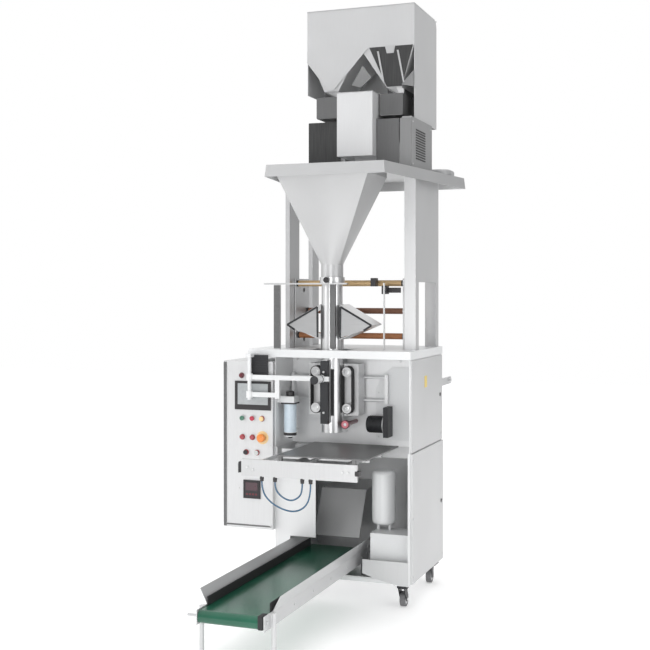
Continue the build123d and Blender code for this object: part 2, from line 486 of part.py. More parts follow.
# ---- Film path ---------------------------------------------------------------------------------------
with BuildPart() as film_frame:
    for plate_x in (FILM_X[0], FILM_X[1] - FILM_T):
        block((plate_x, plate_x + FILM_T), FILM_Y, (TOP_Z, TOP_Z + FILM_H))
    for roller_y, height in ROLLERS.values():
        rod((FILM_X[0], roller_y, TOP_Z + height), RIGHT, FILM_X[1] - FILM_X[0], ROLLER_PIN_R)
    strip_y = (RAIL_Y[0], RAIL_Y[0] + STRIP_T)
    rail_z = TOP_Z + FILM_H - 4 * RAIL_T
    block(STRIP_X, strip_y, (TOP_Z, rail_z))
    for row in range(4):
        hole_z = TOP_Z + (row + 1) * FILM_H / 6
        rod((sum(STRIP_X) / 2, strip_y[0] - 1, hole_z), BACK, STRIP_T + 2, STRIP_HOLE_R, Mode.SUBTRACT)
    block(RAIL_X, RAIL_Y, (rail_z, rail_z + RAIL_T))
    block((SLIM_POST_X, SLIM_POST_X + RAIL_T), around(POST_Y[0], RAIL_T), (TOP_Z, rail_z + RAIL_T))
    for arm_x in REEL_ARM_X:
        half_h = REEL_ARM_H / 2
        arm_outline = [(BODY_Y[1], -half_h), (REEL_ARM_END, -half_h), (REEL_ARM_END, half_h),
                       (BODY_Y[1] + 3 * REEL_ARM_H, half_h), (BODY_Y[1], 2 * REEL_ARM_H)]
        prism(facing_right(arm_x, 0, REEL_ARM_Z), arm_outline, REEL_ARM_T)
        rod((arm_x, REEL_Y, REEL_ARM_Z), RIGHT, REEL_ARM_T, REEL_SHAFT_R + RUN, Mode.SUBTRACT)
pieces["film_frame"] = film_frame

for name, (roller_y, height) in ROLLERS.items():
    with BuildPart() as roller:
        roller_x = inset(FILM_X, FILM_T + 2)
        start = (roller_x[0], roller_y, TOP_Z + height)
        rod(start, RIGHT, roller_x[1] - roller_x[0], ROLLER_R)
        rod(start, RIGHT, roller_x[1] - roller_x[0], ROLLER_PIN_R + RUN, Mode.SUBTRACT)
    pieces[name] = roller

with BuildPart() as reel_shaft:
    shaft_x = (REEL_ARM_X[0] - REEL_ARM_T, REEL_ARM_X[1] + 2 * REEL_ARM_T)
    rod((shaft_x[0], REEL_Y, REEL_ARM_Z), RIGHT, shaft_x[1] - shaft_x[0], REEL_SHAFT_R)
    for cone_x, inward in ((REEL_ARM_X[0] + CONE_INSET, RIGHT), (REEL_ARM_X[1] - CONE_INSET, LEFT)):
        with Locations(Plane(origin=spot(cone_x, REEL_Y, REEL_ARM_Z), z_dir=inward)):
            Cone(CONE_R, CONE_R / 2, CONE_L, align=(Align.CENTER, Align.CENTER, Align.MIN))
pieces["reel_shaft"] = reel_shaft

# ---- Pull belts, one unit each side of the tube ------------------------------------------------------
BELT_MIDDLE = BELT_FACE + BELT_T + PULLEY_R
for side_name, turn in (("left", -1), ("right", 1)):
    middle_x = turn * BELT_MIDDLE
    plate_x = sorted((turn * BELT_FACE, turn * (BELT_FACE + CARRIAGE_W)))
    plate_y = (BELT_W / 2 + 2, BELT_W / 2 + 2 + CARRIAGE_T)
    web_x = sorted((turn * (BELT_FACE + CARRIAGE_W), turn * (BELT_FACE + CARRIAGE_W - CARRIAGE_T)))
    with BuildPart() as carriage:
        block(plate_x, plate_y, CARRIAGE_Z)
        block(web_x, (plate_y[0], BLOCK_Y[1]), CARRIAGE_Z)
        block(plate_x, BLOCK_Y, CARRIAGE_Z)
        for rod_z in SLIDE_Z:
            rod((plate_x[0], SLIDE_Y, rod_z), RIGHT, CARRIAGE_W, SLIDE_R + RUN, Mode.SUBTRACT)
        for pulley_z in PULLEY_Z:
            rod((middle_x, -BELT_W / 2, pulley_z), BACK, BELT_W / 2 + plate_y[0], SPINDLE_R)
        rod((middle_x, plate_y[1], PULLEY_Z[1]), BACK, BLOCK_Y[0] - plate_y[1], DRIVE_R)
    pieces[f"belt_carriage_{side_name}"] = carriage
    with BuildPart() as pull_belt:
        for radius, how in ((PULLEY_R + BELT_T, Mode.ADD), (PULLEY_R + GAP / 2, Mode.SUBTRACT)):
            with BuildSketch(facing_front(middle_x, BELT_W / 2, sum(PULLEY_Z) / 2)) as loop:
                SlotCenterToCenter(PULLEY_Z[1] - PULLEY_Z[0], 2 * radius, rotation=90)
            extrude(loop.sketch, amount=BELT_W, mode=how)
    pieces[f"pull_belt_{side_name}"] = pull_belt
    for pulley_name, pulley_z in zip(("idler_pulley", "drive_pulley"), PULLEY_Z):
        with BuildPart() as pulley:
            rod((middle_x, -BELT_W / 2, pulley_z), BACK, BELT_W, PULLEY_R)
            rod((middle_x, -BELT_W / 2, pulley_z), BACK, BELT_W, SPINDLE_R + RUN, Mode.SUBTRACT)
        pieces[f"{pulley_name}_{side_name}"] = pulley

# ---- Vertical seal: swing arm on the post, with a seal bar that an air cylinder presses on the tube ----
with BuildPart() as seal_arm:
    for arm_z, arm_end in ((ARM_Z, ARM_END), (LOW_ARM_Z, LOW_ARM_END)):
        rod((PIVOT_X, PIVOT_Y, arm_z), UP, SLEEVE_H, SLEEVE_R)
        arm_low = arm_z + SLEEVE_H / 6
        block((PIVOT_X, arm_end), around(PIVOT_Y, ARM_T), (arm_low, arm_low + ARM_H))
    block((LOW_ARM_END - ARM_H, LOW_ARM_END), around(PIVOT_Y, ARM_T), (LOW_ARM_Z, ARM_Z + ARM_H))
    cylinder_z = ARM_Z + SLEEVE_H / 6 + ARM_H / 2
    rod((0, PIVOT_Y - AIR_L, cylinder_z), BACK, AIR_L + ARM_T, AIR_R)
    rod((0, PIVOT_Y - AIR_L + SHEET, cylinder_z), BACK, AIR_L, AIR_BORE, Mode.SUBTRACT)
    rod((0, PIVOT_Y, cylinder_z), BACK, 2 * ARM_T, AIR_ROD_R + RUN, Mode.SUBTRACT)
    for arm_z in (ARM_Z, LOW_ARM_Z):
        rod((PIVOT_X, PIVOT_Y, arm_z), UP, SLEEVE_H, PIVOT_R + RUN, Mode.SUBTRACT)
pieces["seal_arm"] = seal_arm

with BuildPart() as seal_bar:
    block(around(0, SEAL_W), SEAL_Y, SEAL_Z)
    fillet(seal_bar.edges().filter_by(Axis.Z), SHEET)
    rod((0, SEAL_Y[0], cylinder_z), FRONT, SEAL_Y[0] - (PIVOT_Y - AIR_L + SEAL_TRAVEL), AIR_ROD_R)
pieces["seal_bar"] = seal_bar

# ---- Cross seal --------------------------------------------------------------------------------------
JAW_SPAN_Z = around(JAW_Z, JAW_H)
BACK_OF_JAW = JAW_OPEN + JAW_T
FRONT_FITTINGS = [route[end][0] for route in (OUTER_HOSE, INNER_HOSE) for end in (0, -1)]
with BuildPart() as jaw_frame:
    block(FRONT_BAR_X, (FRONT_BAR_Y - BAR_T, FRONT_BAR_Y), around(JAW_Z, BAR_H))
    block(inset(BODY_X, SHEET), (REAR_BAR_Y, REAR_BAR_Y + BAR_T), around(JAW_Z, BAR_H))
    for start_y, along in ((FRONT_BAR_Y, BACK), (REAR_BAR_Y + BAR_T, BACK)):
        rod((0, start_y, JAW_Z), along, RAM_L, RAM_R)
        rod((0, start_y, JAW_Z), along, RAM_L, RAM_ROD_R + RUN, Mode.SUBTRACT)
        rod((0, start_y + BAR_T, JAW_Z), along, RAM_L - 2 * BAR_T, RAM_BORE, Mode.SUBTRACT)
    rod((0, REAR_BAR_Y, JAW_Z), BACK, BAR_T, RAM_ROD_R + RUN, Mode.SUBTRACT)
    for fitting_x in FRONT_FITTINGS:
        rod((fitting_x, HOSE_Y, JAW_Z - BAR_H / 2), DOWN, FITTING_H, FITTING_R)
    for rod_x in (-GUIDE_X, GUIDE_X):
        rod((rod_x, FRONT_BAR_Y, JAW_Z), BACK, REAR_BAR_Y - FRONT_BAR_Y, GUIDE_R)
pieces["jaw_frame"] = jaw_frame

slot_x, slot_z = around(0, BLADE_W + 2 * GAP), around(JAW_Z, BLADE_T + 2 * GAP)
for name, turn, ram_end in (("front_jaw", -1, FRONT_BAR_Y + BAR_T), ("rear_jaw", 1, REAR_BAR_Y + RAM_L)):
    with BuildPart() as jaw:
        jaw_y = sorted((turn * JAW_OPEN, turn * BACK_OF_JAW))
        yoke_y = sorted((turn * BACK_OF_JAW, turn * (BACK_OF_JAW + YOKE_T)))
        block(around(0, JAW_W), jaw_y, JAW_SPAN_Z)
        fillet(jaw.edges().filter_by(Axis.X), SHEET)
        block(around(0, YOKE_W), yoke_y, around(JAW_Z, YOKE_H))
        for rod_x in (-GUIDE_X, GUIDE_X):
            rod((rod_x, turn * BACK_OF_JAW, JAW_Z), (0, turn, 0), YOKE_T, GUIDE_R + RUN, Mode.SUBTRACT)
        block(slot_x, jaw_y, slot_z, Mode.SUBTRACT)
        ram_start = turn * (BACK_OF_JAW + YOKE_T)
        rod((0, ram_start, JAW_Z), (0, turn, 0), abs(ram_end - ram_start), RAM_ROD_R)
    pieces[name] = jaw

with BuildPart() as cutter:
    block(around(0, BLADE_W), (-JAW_OPEN - 2 - BLADE_D, -JAW_OPEN - 2), around(JAW_Z, BLADE_T))
pieces["cutter"] = cutter

with BuildPart() as guard_plate:
    block(GUARD_X, (FRONT_BAR_Y - BAR_T, GUARD_Y[1]), (GUARD_Z, GUARD_Z + GUARD_T))
    for post_x in (GUARD_X[0] + BAR_T, FRONT_BAR_X[1] - BAR_T):
        block(around(post_x, BAR_T), (FRONT_BAR_Y - BAR_T, FRONT_BAR_Y), (JAW_Z + BAR_H / 2, GUARD_Z))
pieces["guard_plate"] = guard_plate

# ---- Controls ----------------------------------------------------------------------------------------
PANEL_FACE = CONTROL_Y[0] - CONTROL_PANEL_T
hinge_x, hinge_y = CONTROL_X[0] - DOOR_T / 2, CONTROL_Y[1] - DOOR_MARGIN + 2 * HINGE_PIN_R
door_y, door_z = inset(CONTROL_Y, DOOR_MARGIN), inset(CONTROL_Z, DOOR_MARGIN)
hinge_starts = (CONTROL_Z[0] + 2 * HINGE_L, CONTROL_Z[1] - 3 * HINGE_L)
screen_size, gauge_size = (SCREEN_W, SCREEN_H), (GAUGE_SIZE, GAUGE_SIZE)
instruments = {"operator_screen": (SCREEN_X, SCREEN_Z, screen_size),
               "temperature_controller": (GAUGE_X, GAUGE_Z, gauge_size)}
green_spot, red_spot, yellow_spot = [(x, BUTTON_Z[0]) for x in BUTTON_X]
lamp_spots = [yellow_spot] + [(x, BUTTON_Z[1]) for x in BUTTON_X[:2]] + [(x, BUTTON_Z[2]) for x in KNOB_X]
press_spots = {"green_button": green_spot, "red_button": red_spot, "emergency_stop": (STOP_X, BUTTON_Z[1])}
with BuildPart() as control_box:
    block(CONTROL_X, CONTROL_Y, CONTROL_Z)
    hollow_y = (CONTROL_Y[0] - SHEET, CONTROL_Y[1] - SHEET)
    block(inset(CONTROL_X, SHEET), hollow_y, inset(CONTROL_Z, SHEET), Mode.SUBTRACT)
    block((CONTROL_X[0] - 1, CONTROL_X[0] + SHEET), inset(door_y, DOOR_MARGIN), inset(door_z, DOOR_MARGIN),
          Mode.SUBTRACT)
    for start_z in hinge_starts:
        rod((hinge_x, hinge_y, start_z - DOOR_T), UP, HINGE_L + 2 * DOOR_T, HINGE_PIN_R)
        for ear_z in (start_z - DOOR_T, start_z + HINGE_L + GAP):
            block((hinge_x - HINGE_PIN_R, CONTROL_X[0]), around(hinge_y, 2 * HINGE_PIN_R),
                  (ear_z, ear_z + DOOR_T - GAP))
    block(CONTROL_X, (PANEL_FACE, CONTROL_Y[0]), CONTROL_Z)
    for x, z, (width, height) in instruments.values():
        block(around(x, width - DOOR_T), (PANEL_FACE - 1, CONTROL_Y[0] + 1), around(z, height - DOOR_T),
              Mode.SUBTRACT)
    for x, z in press_spots.values():
        rod((x, PANEL_FACE, z), FRONT, COLLAR_PROUD, COLLAR_R)
        rod((x, CONTROL_Y[0] + 1, z), FRONT, CONTROL_PANEL_T + COLLAR_PROUD + 2, BUTTON_HOLE_R, Mode.SUBTRACT)
    rod((GLAND_X, GLAND_Y, CONTROL_Z[0]), DOWN, GLAND_H, GLAND_BODY_R)
    rod((GLAND_X, GLAND_Y, CONTROL_Z[0] + SHEET), DOWN, GLAND_H + SHEET, GLAND_R, Mode.SUBTRACT)
pieces["control_box"] = control_box

with BuildPart() as control_door:
    block((CONTROL_X[0] - DOOR_T, CONTROL_X[0] - GAP), (door_y[0], door_y[1] - GAP), door_z)
    fillet(control_door.faces().sort_by(Axis.X)[0].edges(), SHEET)
    for start_z in hinge_starts:
        block((hinge_x - 2 * HINGE_PIN_R / 2, hinge_x + HINGE_PIN_R), (door_y[1] - DOOR_T, hinge_y),
              (start_z + GAP, start_z + HINGE_L - GAP))
        rod((hinge_x, hinge_y, start_z + GAP), UP, HINGE_L - 2 * GAP, HINGE_PIN_R + 2 - GAP)
        rod((hinge_x, hinge_y, start_z), UP, HINGE_L, HINGE_PIN_R + RUN, Mode.SUBTRACT)
pieces["control_door"] = control_door

for name, (x, z, (width, height)) in instruments.items():
    with BuildPart() as instrument:
        block(around(x, width), (PANEL_FACE - SCREEN_PROUD, PANEL_FACE), around(z, height))
        fillet(instrument.faces().sort_by(Axis.Y)[0].edges(), SHEET)
        block(around(x, width - DOOR_T), (PANEL_FACE, PANEL_FACE + SCREEN_DEPTH), around(z, height - DOOR_T))
    pieces[name] = instrument

with BuildPart() as pilot_lamps:
    for x, z in lamp_spots:
        rod((x, PANEL_FACE, z), FRONT, COLLAR_PROUD, COLLAR_R)
        rod((x, PANEL_FACE, z), FRONT, 3 * COLLAR_PROUD, BUTTON_R)
pieces["pilot_lamps"] = pilot_lamps

for name, (x, z) in press_spots.items():
    with BuildPart() as button:
        stem = DOOR_T + CONTROL_PANEL_T + COLLAR_PROUD + 2 * BUTTON_TRAVEL
        rod((x, CONTROL_Y[0] + DOOR_T, z), FRONT, stem, BUTTON_R)
        if name == "emergency_stop":
            rod((x, PANEL_FACE - COLLAR_PROUD - BUTTON_TRAVEL - GAP, z), FRONT, STOP_R * 0.8, STOP_R)
    pieces[name] = button

# ---- Discharge and conveyor --------------------------------------------------------------------------
with BuildPart() as discharge_chute:
    (top_y, top_z), (foot_y, foot_z) = PLATE_TOP, PLATE_FOOT
    rear_y = BODY_Y[1] - SHEET
    outline = [(foot_y, foot_z), (top_y, top_z), (rear_y, top_z), (rear_y, top_z + PLATE_T),
               (top_y - PLATE_T, top_z + PLATE_T), (foot_y - PLATE_T, foot_z + PLATE_T / 2)]
    prism(facing_right(-PLATE_W / 2, 0, 0), outline, PLATE_W)
pieces["discharge_chute"] = discharge_chute

frame_x = BELT_WIDTH / 2 + FRAME_GAP
frame_z = around(CONVEYOR_Z, FRAME_H)
frame_y = (CONVEYOR_Y[0] - CONVEYOR_R, CONVEYOR_Y[1] + CONVEYOR_R)
leg_x = frame_x + FRAME_T + LEG_R
with BuildPart() as conveyor_frame:
    for turn in (-1, 1):
        block(sorted((turn * frame_x, turn * (frame_x + FRAME_T))), frame_y, frame_z)
        for roller_y in CONVEYOR_Y:
            bore_start = (turn * (frame_x - 1), roller_y, CONVEYOR_Z)
            rod(bore_start, (turn, 0, 0), FRAME_T + 2, SHAFT_R + RUN, Mode.SUBTRACT)
        block(sorted((turn * (frame_x + FRAME_T), turn * leg_x)), around(LEG_PLACE_Y, 3 * LEG_R), frame_z)
        rod((turn * leg_x, LEG_PLACE_Y, FOOT_H), UP, frame_z[1] - FOOT_H, LEG_R)
        rod((turn * leg_x, LEG_PLACE_Y, 0), UP, FOOT_H, FOOT_R)
    bed_top = CONVEYOR_Z + CONVEYOR_R - GAP
    bed_y = inset(CONVEYOR_Y, CONVEYOR_R + 2 * FRAME_GAP)
    block((-frame_x, frame_x), bed_y, (bed_top - FRAME_T, bed_top))
    rest_top = CONVEYOR_Z - CONVEYOR_R - 2 * BELT_SHEET
    block((-frame_x - FRAME_T, frame_x + FRAME_T), (0, CONVEYOR_R), (BASE_Z + SHEET, rest_top))
    low, high = frame_z[1], GUIDE_TOP
    for turn in (-1, 1):
        near, far = turn * frame_x, turn * (frame_x + GUIDE_FLARE)
        outline = [(near, low), (far, high), (far + turn * PLATE_T, high), (near + turn * FRAME_T, low)]
        prism(facing_front(0, GUIDE_Y[1], 0), outline, GUIDE_Y[1] - GUIDE_Y[0])
    gear_x = (-frame_x - FRAME_T - GEAR_L, -frame_x - FRAME_T)
    block(gear_x, around(CONVEYOR_Y[1], GEAR_W), around(CONVEYOR_Z, GEAR_W))
    rod((gear_x[0], CONVEYOR_Y[1], CONVEYOR_Z), RIGHT, GEAR_L, SHAFT_R + RUN, Mode.SUBTRACT)
pieces["conveyor_frame"] = conveyor_frame

with BuildPart() as conveyor_belt:
    for radius, how in ((CONVEYOR_R + BELT_SHEET, Mode.ADD), (CONVEYOR_R + GAP / 2, Mode.SUBTRACT)):
        with BuildSketch(facing_right(-BELT_WIDTH / 2, sum(CONVEYOR_Y) / 2, CONVEYOR_Z)) as loop:
            SlotCenterToCenter(CONVEYOR_Y[1] - CONVEYOR_Y[0], 2 * radius)
        extrude(loop.sketch, amount=BELT_WIDTH, mode=how)
pieces["conveyor_belt"] = conveyor_belt

shaft_end = frame_x + 2 * FRAME_T
drums = (("conveyor_front_roller", CONVEYOR_Y[0], 0), ("conveyor_rear_roller", CONVEYOR_Y[1], GEAR_L / 2))
for name, roller_y, reach in drums:
    with BuildPart() as drum:
        rod((-BELT_WIDTH / 2, roller_y, CONVEYOR_Z), RIGHT, BELT_WIDTH, CONVEYOR_R)
        rod((-shaft_end - reach, roller_y, CONVEYOR_Z), RIGHT, 2 * shaft_end + reach, SHAFT_R)
    pieces[name] = drum

# ---- Pneumatics and bay drives -----------------------------------------------------------------------
with BuildPart() as air_supply:
    rod((TANK_X, TANK_Y, TANK_Z[0]), UP, TANK_Z[1] - TANK_Z[0], TANK_R)
    fillet(air_supply.edges().filter_by(GeomType.CIRCLE), TANK_R / 3)
    block(VALVE_X, VALVE_Y, (BASE_Z + SHEET, BASE_Z + SHEET + VALVE_H))
    for foot_x in (-TANK_R / 2, TANK_R / 2):
        rod((TANK_X + foot_x, TANK_Y, BASE_Z + SHEET + VALVE_H), UP, TANK_Z[0] - BASE_Z - VALVE_H, FITTING_R)
    rod((BOWL_X, BOWL_Y, BOWL_Z[0]), UP, BOWL_Z[1] - BOWL_Z[0], BOWL_R)
    cap_z = (BOWL_Z[1], BOWL_Z[1] + BOWL_CAP_H)
    block(around(BOWL_X, BOWL_CAP_W), around(BOWL_Y, BOWL_CAP_W), cap_z)
    block((BODY_X[0] + SHEET, BOWL_X), BOWL_BRACKET, cap_z)
    rod((INLET_X, BODY_Y[1], INLET_Z), BACK, INLET_L + SHEET, INLET_BODY_R)
    rod((INLET_X, BODY_Y[1] + SHEET, INLET_Z), BACK, INLET_L, INLET_R, Mode.SUBTRACT)
pieces["air_supply"] = air_supply

with BuildPart() as pressure_gauge:
    rod((DIAL_X, MOUNT_Y, DIAL_Z), FRONT, MOUNT_Y - DIAL_Y, DIAL_R / 2)
    rod((DIAL_X, DIAL_Y, DIAL_Z), FRONT, DIAL_T, DIAL_R)
pieces["pressure_gauge"] = pressure_gauge

with BuildPart() as film_motor:
    rod((MOTOR_X[0], MOTOR_Y, MOTOR_Z), RIGHT, MOTOR_X[1] - MOTOR_X[0], MOTOR_R)
    block((MOTOR_X[1], MOTOR_X[1] + FLANGE_T), (MOTOR_Y - MOTOR_R, MOUNT_Y), FLANGE_Z)
pieces["film_motor"] = film_motor

for name, route in (("outer_hose", OUTER_HOSE), ("inner_hose", INNER_HOSE)):
    points = [Vector(*spot(x, HOSE_Y + y, z)) for x, y, z in route]
    runs = [after - before for before, after in zip(points, points[1:])]
    radii = []
    for before, after in zip(runs, runs[1:]):
        half_turn = radians(before.get_angle(after) / 2)
        radii.append(0.45 * min(before.length, after.length) / tan(half_turn))
    print(name, "bend radii", [round(radius) for radius in radii])
    with BuildPart() as hose:
        with BuildLine() as path:
            FilletPolyline(*points, radius=radii)
        with BuildSketch(Plane(origin=points[0], z_dir=runs[0])):
            Circle(HOSE_R)
        sweep()
    straight_volume = pi * HOSE_R ** 2 * path.wires()[0].length
    print(name, "volume over section times length", round(hose.part.volume / straight_volume, 4))
    pieces[name] = hose

os.makedirs("parts", exist_ok=True)
for name, piece in pieces.items():
    piece.part.label = name
    export_step(piece.part, f"parts/{name}.step")
print(len(pieces), "pieces")
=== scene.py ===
"""Looks of the vertical form fill sealer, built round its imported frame.

Spans are in millimetres from the forming tube's axis (x to the right, y to the back) and from the
floor (z up), as in the CAD source. Where a piece belongs to a CAD node, its place is worked out from
that node's box.
"""
import json
from math import cos, pi, radians, sin

import bmesh
import bpy
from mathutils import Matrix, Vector


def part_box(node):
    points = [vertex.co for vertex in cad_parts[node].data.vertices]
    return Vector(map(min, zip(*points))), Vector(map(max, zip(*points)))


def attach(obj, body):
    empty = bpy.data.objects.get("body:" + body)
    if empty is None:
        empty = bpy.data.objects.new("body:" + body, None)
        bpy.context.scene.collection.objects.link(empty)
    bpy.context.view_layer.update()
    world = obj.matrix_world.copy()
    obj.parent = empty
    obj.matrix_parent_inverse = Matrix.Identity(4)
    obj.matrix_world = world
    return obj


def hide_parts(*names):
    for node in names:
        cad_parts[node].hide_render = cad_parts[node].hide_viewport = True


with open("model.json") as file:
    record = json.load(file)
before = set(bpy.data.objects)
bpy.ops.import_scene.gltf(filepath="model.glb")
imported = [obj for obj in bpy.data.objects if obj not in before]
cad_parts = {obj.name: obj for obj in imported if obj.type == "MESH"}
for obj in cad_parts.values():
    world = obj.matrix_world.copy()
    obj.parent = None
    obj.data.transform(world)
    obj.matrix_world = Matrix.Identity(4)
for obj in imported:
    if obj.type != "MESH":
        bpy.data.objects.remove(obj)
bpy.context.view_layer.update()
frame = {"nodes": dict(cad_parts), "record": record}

MM = 0.001
tube_low, tube_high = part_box("forming_tube")
AXIS_X, AXIS_Y = (tube_low[0] + tube_high[0]) / 2, (tube_low[1] + tube_high[1]) / 2
RIGHT, BACK, UP = Vector((1, 0, 0)), Vector((0, 1, 0)), Vector((0, 0, 1))
LEFT, FRONT, DOWN = -RIGHT, -BACK, -UP


def at(x, y, z):
    """Point in the frame, in metres, from spans in millimetres."""
    return Vector((AXIS_X + x * MM, AXIS_Y + y * MM, z * MM))


def spans(node):
    """(x, y, z) spans of a CAD node in millimetres from the tube's axis and the floor."""
    low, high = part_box(node)
    return [((low[i] - shift) / MM, (high[i] - shift) / MM) for i, shift in enumerate((AXIS_X, AXIS_Y, 0))]


# ---- Camera ------------------------------------------------------------------------------------------
# It stands in front and to the right, level with the middle of the machine.
camera_data = bpy.data.cameras.new("camera")
camera_data.sensor_width, camera_data.lens, camera_data.shift_y = 36.0, 62.6, -0.054
camera_data.clip_end = 60.0
camera = bpy.data.objects.new("camera", camera_data)
camera.location = (2.0335, -5.3735, 1.60)
camera.rotation_euler = (radians(90), 0, radians(20.4))
bpy.context.scene.collection.objects.link(camera)
bpy.context.scene.camera = camera
bpy.context.scene.view_settings.view_transform = "Standard"


# ---- Materials ---------------------------------------------------------------------------------------
COAT_ROUGHNESS = 0.15
CLOUD_SCALE = 2.3
RELIEF_DEPTH = 0.002


def tint(colour, factor):
    """Colour made darker or lighter, with an alpha of one."""
    return tuple(min(1.0, channel * factor) for channel in colour) + (1.0,)


def surface(name, colour, roughness, metallic=0.0, grain=(1.0, 1.0, 1.0), grain_scale=60.0,
            contrast=0.06, cloud=0.04, uneven=0.06, bump=0.02, coat=0.0):
    """Material whose colour, roughness and height follow a fine grain and a broad cloud of noise."""
    material = bpy.data.materials.new(name)
    material.use_nodes = True
    tree = material.node_tree
    shader = tree.nodes["Principled BSDF"]
    shader.inputs["Metallic"].default_value = metallic
    shader.inputs["Coat Weight"].default_value = coat
    shader.inputs["Coat Roughness"].default_value = COAT_ROUGHNESS

    def node(kind, **inputs):
        made = tree.nodes.new(kind)
        for key, value in inputs.items():
            made.inputs[key].default_value = value
        return made

    def link(source, output, target, slot):
        tree.links.new(source.outputs[output], target.inputs[slot])

    place = node("ShaderNodeTexCoord")
    stretch = node("ShaderNodeMapping", Scale=grain)
    fine = node("ShaderNodeTexNoise", Scale=grain_scale, Detail=4.0, Roughness=0.6)
    broad = node("ShaderNodeTexNoise", Scale=CLOUD_SCALE, Detail=2.0, Roughness=0.5)
    link(place, "Object", stretch, "Vector")
    link(stretch, "Vector", fine, "Vector")
    link(place, "Object", broad, "Vector")
    shades = node("ShaderNodeValToRGB")
    shades.color_ramp.elements[0].position, shades.color_ramp.elements[1].position = 0.3, 0.7
    shades.color_ramp.elements[0].color = tint(colour, 1 - contrast)
    shades.color_ramp.elements[1].color = tint(colour, 1 + contrast)
    link(fine, "Fac", shades, "Fac")
    clouds = node("ShaderNodeValToRGB")
    clouds.color_ramp.elements[0].position, clouds.color_ramp.elements[1].position = 0.35, 0.65
    clouds.color_ramp.elements[0].color = (1 - cloud, 1 - cloud, 1 - cloud, 1)
    link(broad, "Fac", clouds, "Fac")
    blend = tree.nodes.new("ShaderNodeMix")
    blend.data_type, blend.blend_type = "RGBA", "MULTIPLY"
    blend.inputs[0].default_value = 1.0
    tree.links.new(shades.outputs["Color"], blend.inputs[6])
    tree.links.new(clouds.outputs["Color"], blend.inputs[7])
    tree.links.new(blend.outputs[2], shader.inputs["Base Color"])
    rough = node("ShaderNodeMapRange", **{"From Min": 0.3, "From Max": 0.7,
                                          "To Min": roughness - uneven, "To Max": roughness + uneven})
    link(fine, "Fac", rough, "Value")
    link(rough, "Result", shader, "Roughness")
    relief = node("ShaderNodeBump", Strength=bump, Distance=RELIEF_DEPTH)
    link(fine, "Fac", relief, "Height")
    link(relief, "Normal", shader, "Normal")
    return material


def steel(name, shade, roughness, along="z", contrast=0.05, metallic=0.85):
    """Brushed stainless sheet, its grain running along an axis."""
    grain = {"x": (0.02, 1, 1), "y": (1, 0.02, 1), "z": (1, 1, 0.02)}[along]
    colour = (shade, shade * 1.005, shade * 1.012)
    return surface(name, colour, roughness, metallic, grain, 420.0, contrast, cloud=0.05, uneven=0.025,
                   bump=0.0015)


def gloss(name, colour, roughness, coat=0.6, grain_scale=300, contrast=0.1):
    """Moulded plastic, lens or glass with a clear skin."""
    return surface(name, colour, roughness, grain_scale=grain_scale, contrast=contrast, coat=coat)


def roller_cover(name, colour, roughness, metallic, contrast):
    """Roller sleeve, turned round the x axis."""
    return surface(name, colour, roughness, metallic, (0.05, 1, 1), 300, contrast, 0.1)


LOOKS = {
    "stainless": steel("satin_steel", 0.60, 0.38, contrast=0.04, metallic=0.7),
    "bright_steel": steel("bright_steel", 0.66, 0.30, contrast=0.025),
    "light_paint": steel("control_steel", 0.66, 0.42, "z", 0.03, 0.45),
    "white_paint": surface("white_paint", (0.76, 0.77, 0.775), 0.34, 0.1, grain_scale=180,
                           contrast=0.02, cloud=0.03),
    "dark_sheet": steel("dark_sheet", 0.16, 0.38, "x", 0.1, 0.6),
    "black_metal": surface("black_metal", (0.028, 0.029, 0.032), 0.42, 0.3, grain_scale=320,
                           contrast=0.25),
    "black_rubber": surface("black_rubber", (0.022, 0.022, 0.023), 0.7, grain_scale=420, contrast=0.3,
                            bump=0.1),
    "belt_green": surface("belt_green", (0.010, 0.110, 0.062), 0.26, 0.0, (1, 0.25, 1), 900, 0.12, 0.45,
                          0.06, 0.03, coat=0.25),
    "roller_tan": roller_cover("roller_tan", (0.60, 0.42, 0.22), 0.42, 0.3, 0.1),
    "roller_brown": roller_cover("roller_brown", (0.25, 0.12, 0.075), 0.5, 0.1, 0.12),
    "roller_orange": roller_cover("roller_orange", (0.42, 0.17, 0.07), 0.5, 0.0, 0.12),
    "black_plastic": gloss("black_plastic", (0.024, 0.022, 0.024), 0.38, 0.0, 700, 0.15),
    "lamp_plastic": gloss("lamp_plastic", (0.36, 0.05, 0.06), 0.22),
    "green_plastic": gloss("green_plastic", (0.05, 0.17, 0.11), 0.25),
    "red_plastic": gloss("red_plastic", (0.45, 0.02, 0.05), 0.25),
    "orange_plastic": gloss("orange_plastic", (0.80, 0.25, 0.04), 0.28),
    "hose_blue": gloss("hose_blue", (0.045, 0.12, 0.21), 0.24, 0.5, 240),
    "jaw_aluminium": steel("machined_aluminium", 0.62, 0.33, "x", 0.07),
    "maroon": gloss("maroon", (0.13, 0.018, 0.028), 0.3, 0.4, 300, 0.12),
    "wheel_grey": surface("wheel_grey", (0.16, 0.16, 0.165), 0.6, grain_scale=300, contrast=0.15,
                          bump=0.05),
}
YELLOW = gloss("yellow_plate", (0.78, 0.56, 0.07), 0.35, 0.3, 400, 0.04)
AMBER = gloss("amber_lens", (0.82, 0.60, 0.30), 0.22, contrast=0.08)
PALE_LENS = gloss("pale_lens", (0.55, 0.57, 0.56), 0.25, 0.5, contrast=0.08)
GLASS_GREY = gloss("screen_glass", (0.40, 0.42, 0.43), 0.12, 0.8, 40, 0.08)
RED_GLASS = gloss("red_glass", (0.045, 0.006, 0.016), 0.16, 0.8, 60, 0.2)
ICE_BLUE = gloss("ice_blue", (0.62, 0.72, 0.80), 0.2, 0.6, 60, 0.05)
PINK = gloss("dial_pink", (0.75, 0.22, 0.27), 0.3, 0.5, 200, 0.08)
WING_STEEL = steel("wing_steel", 0.46, 0.32, "x", 0.04, 0.7)
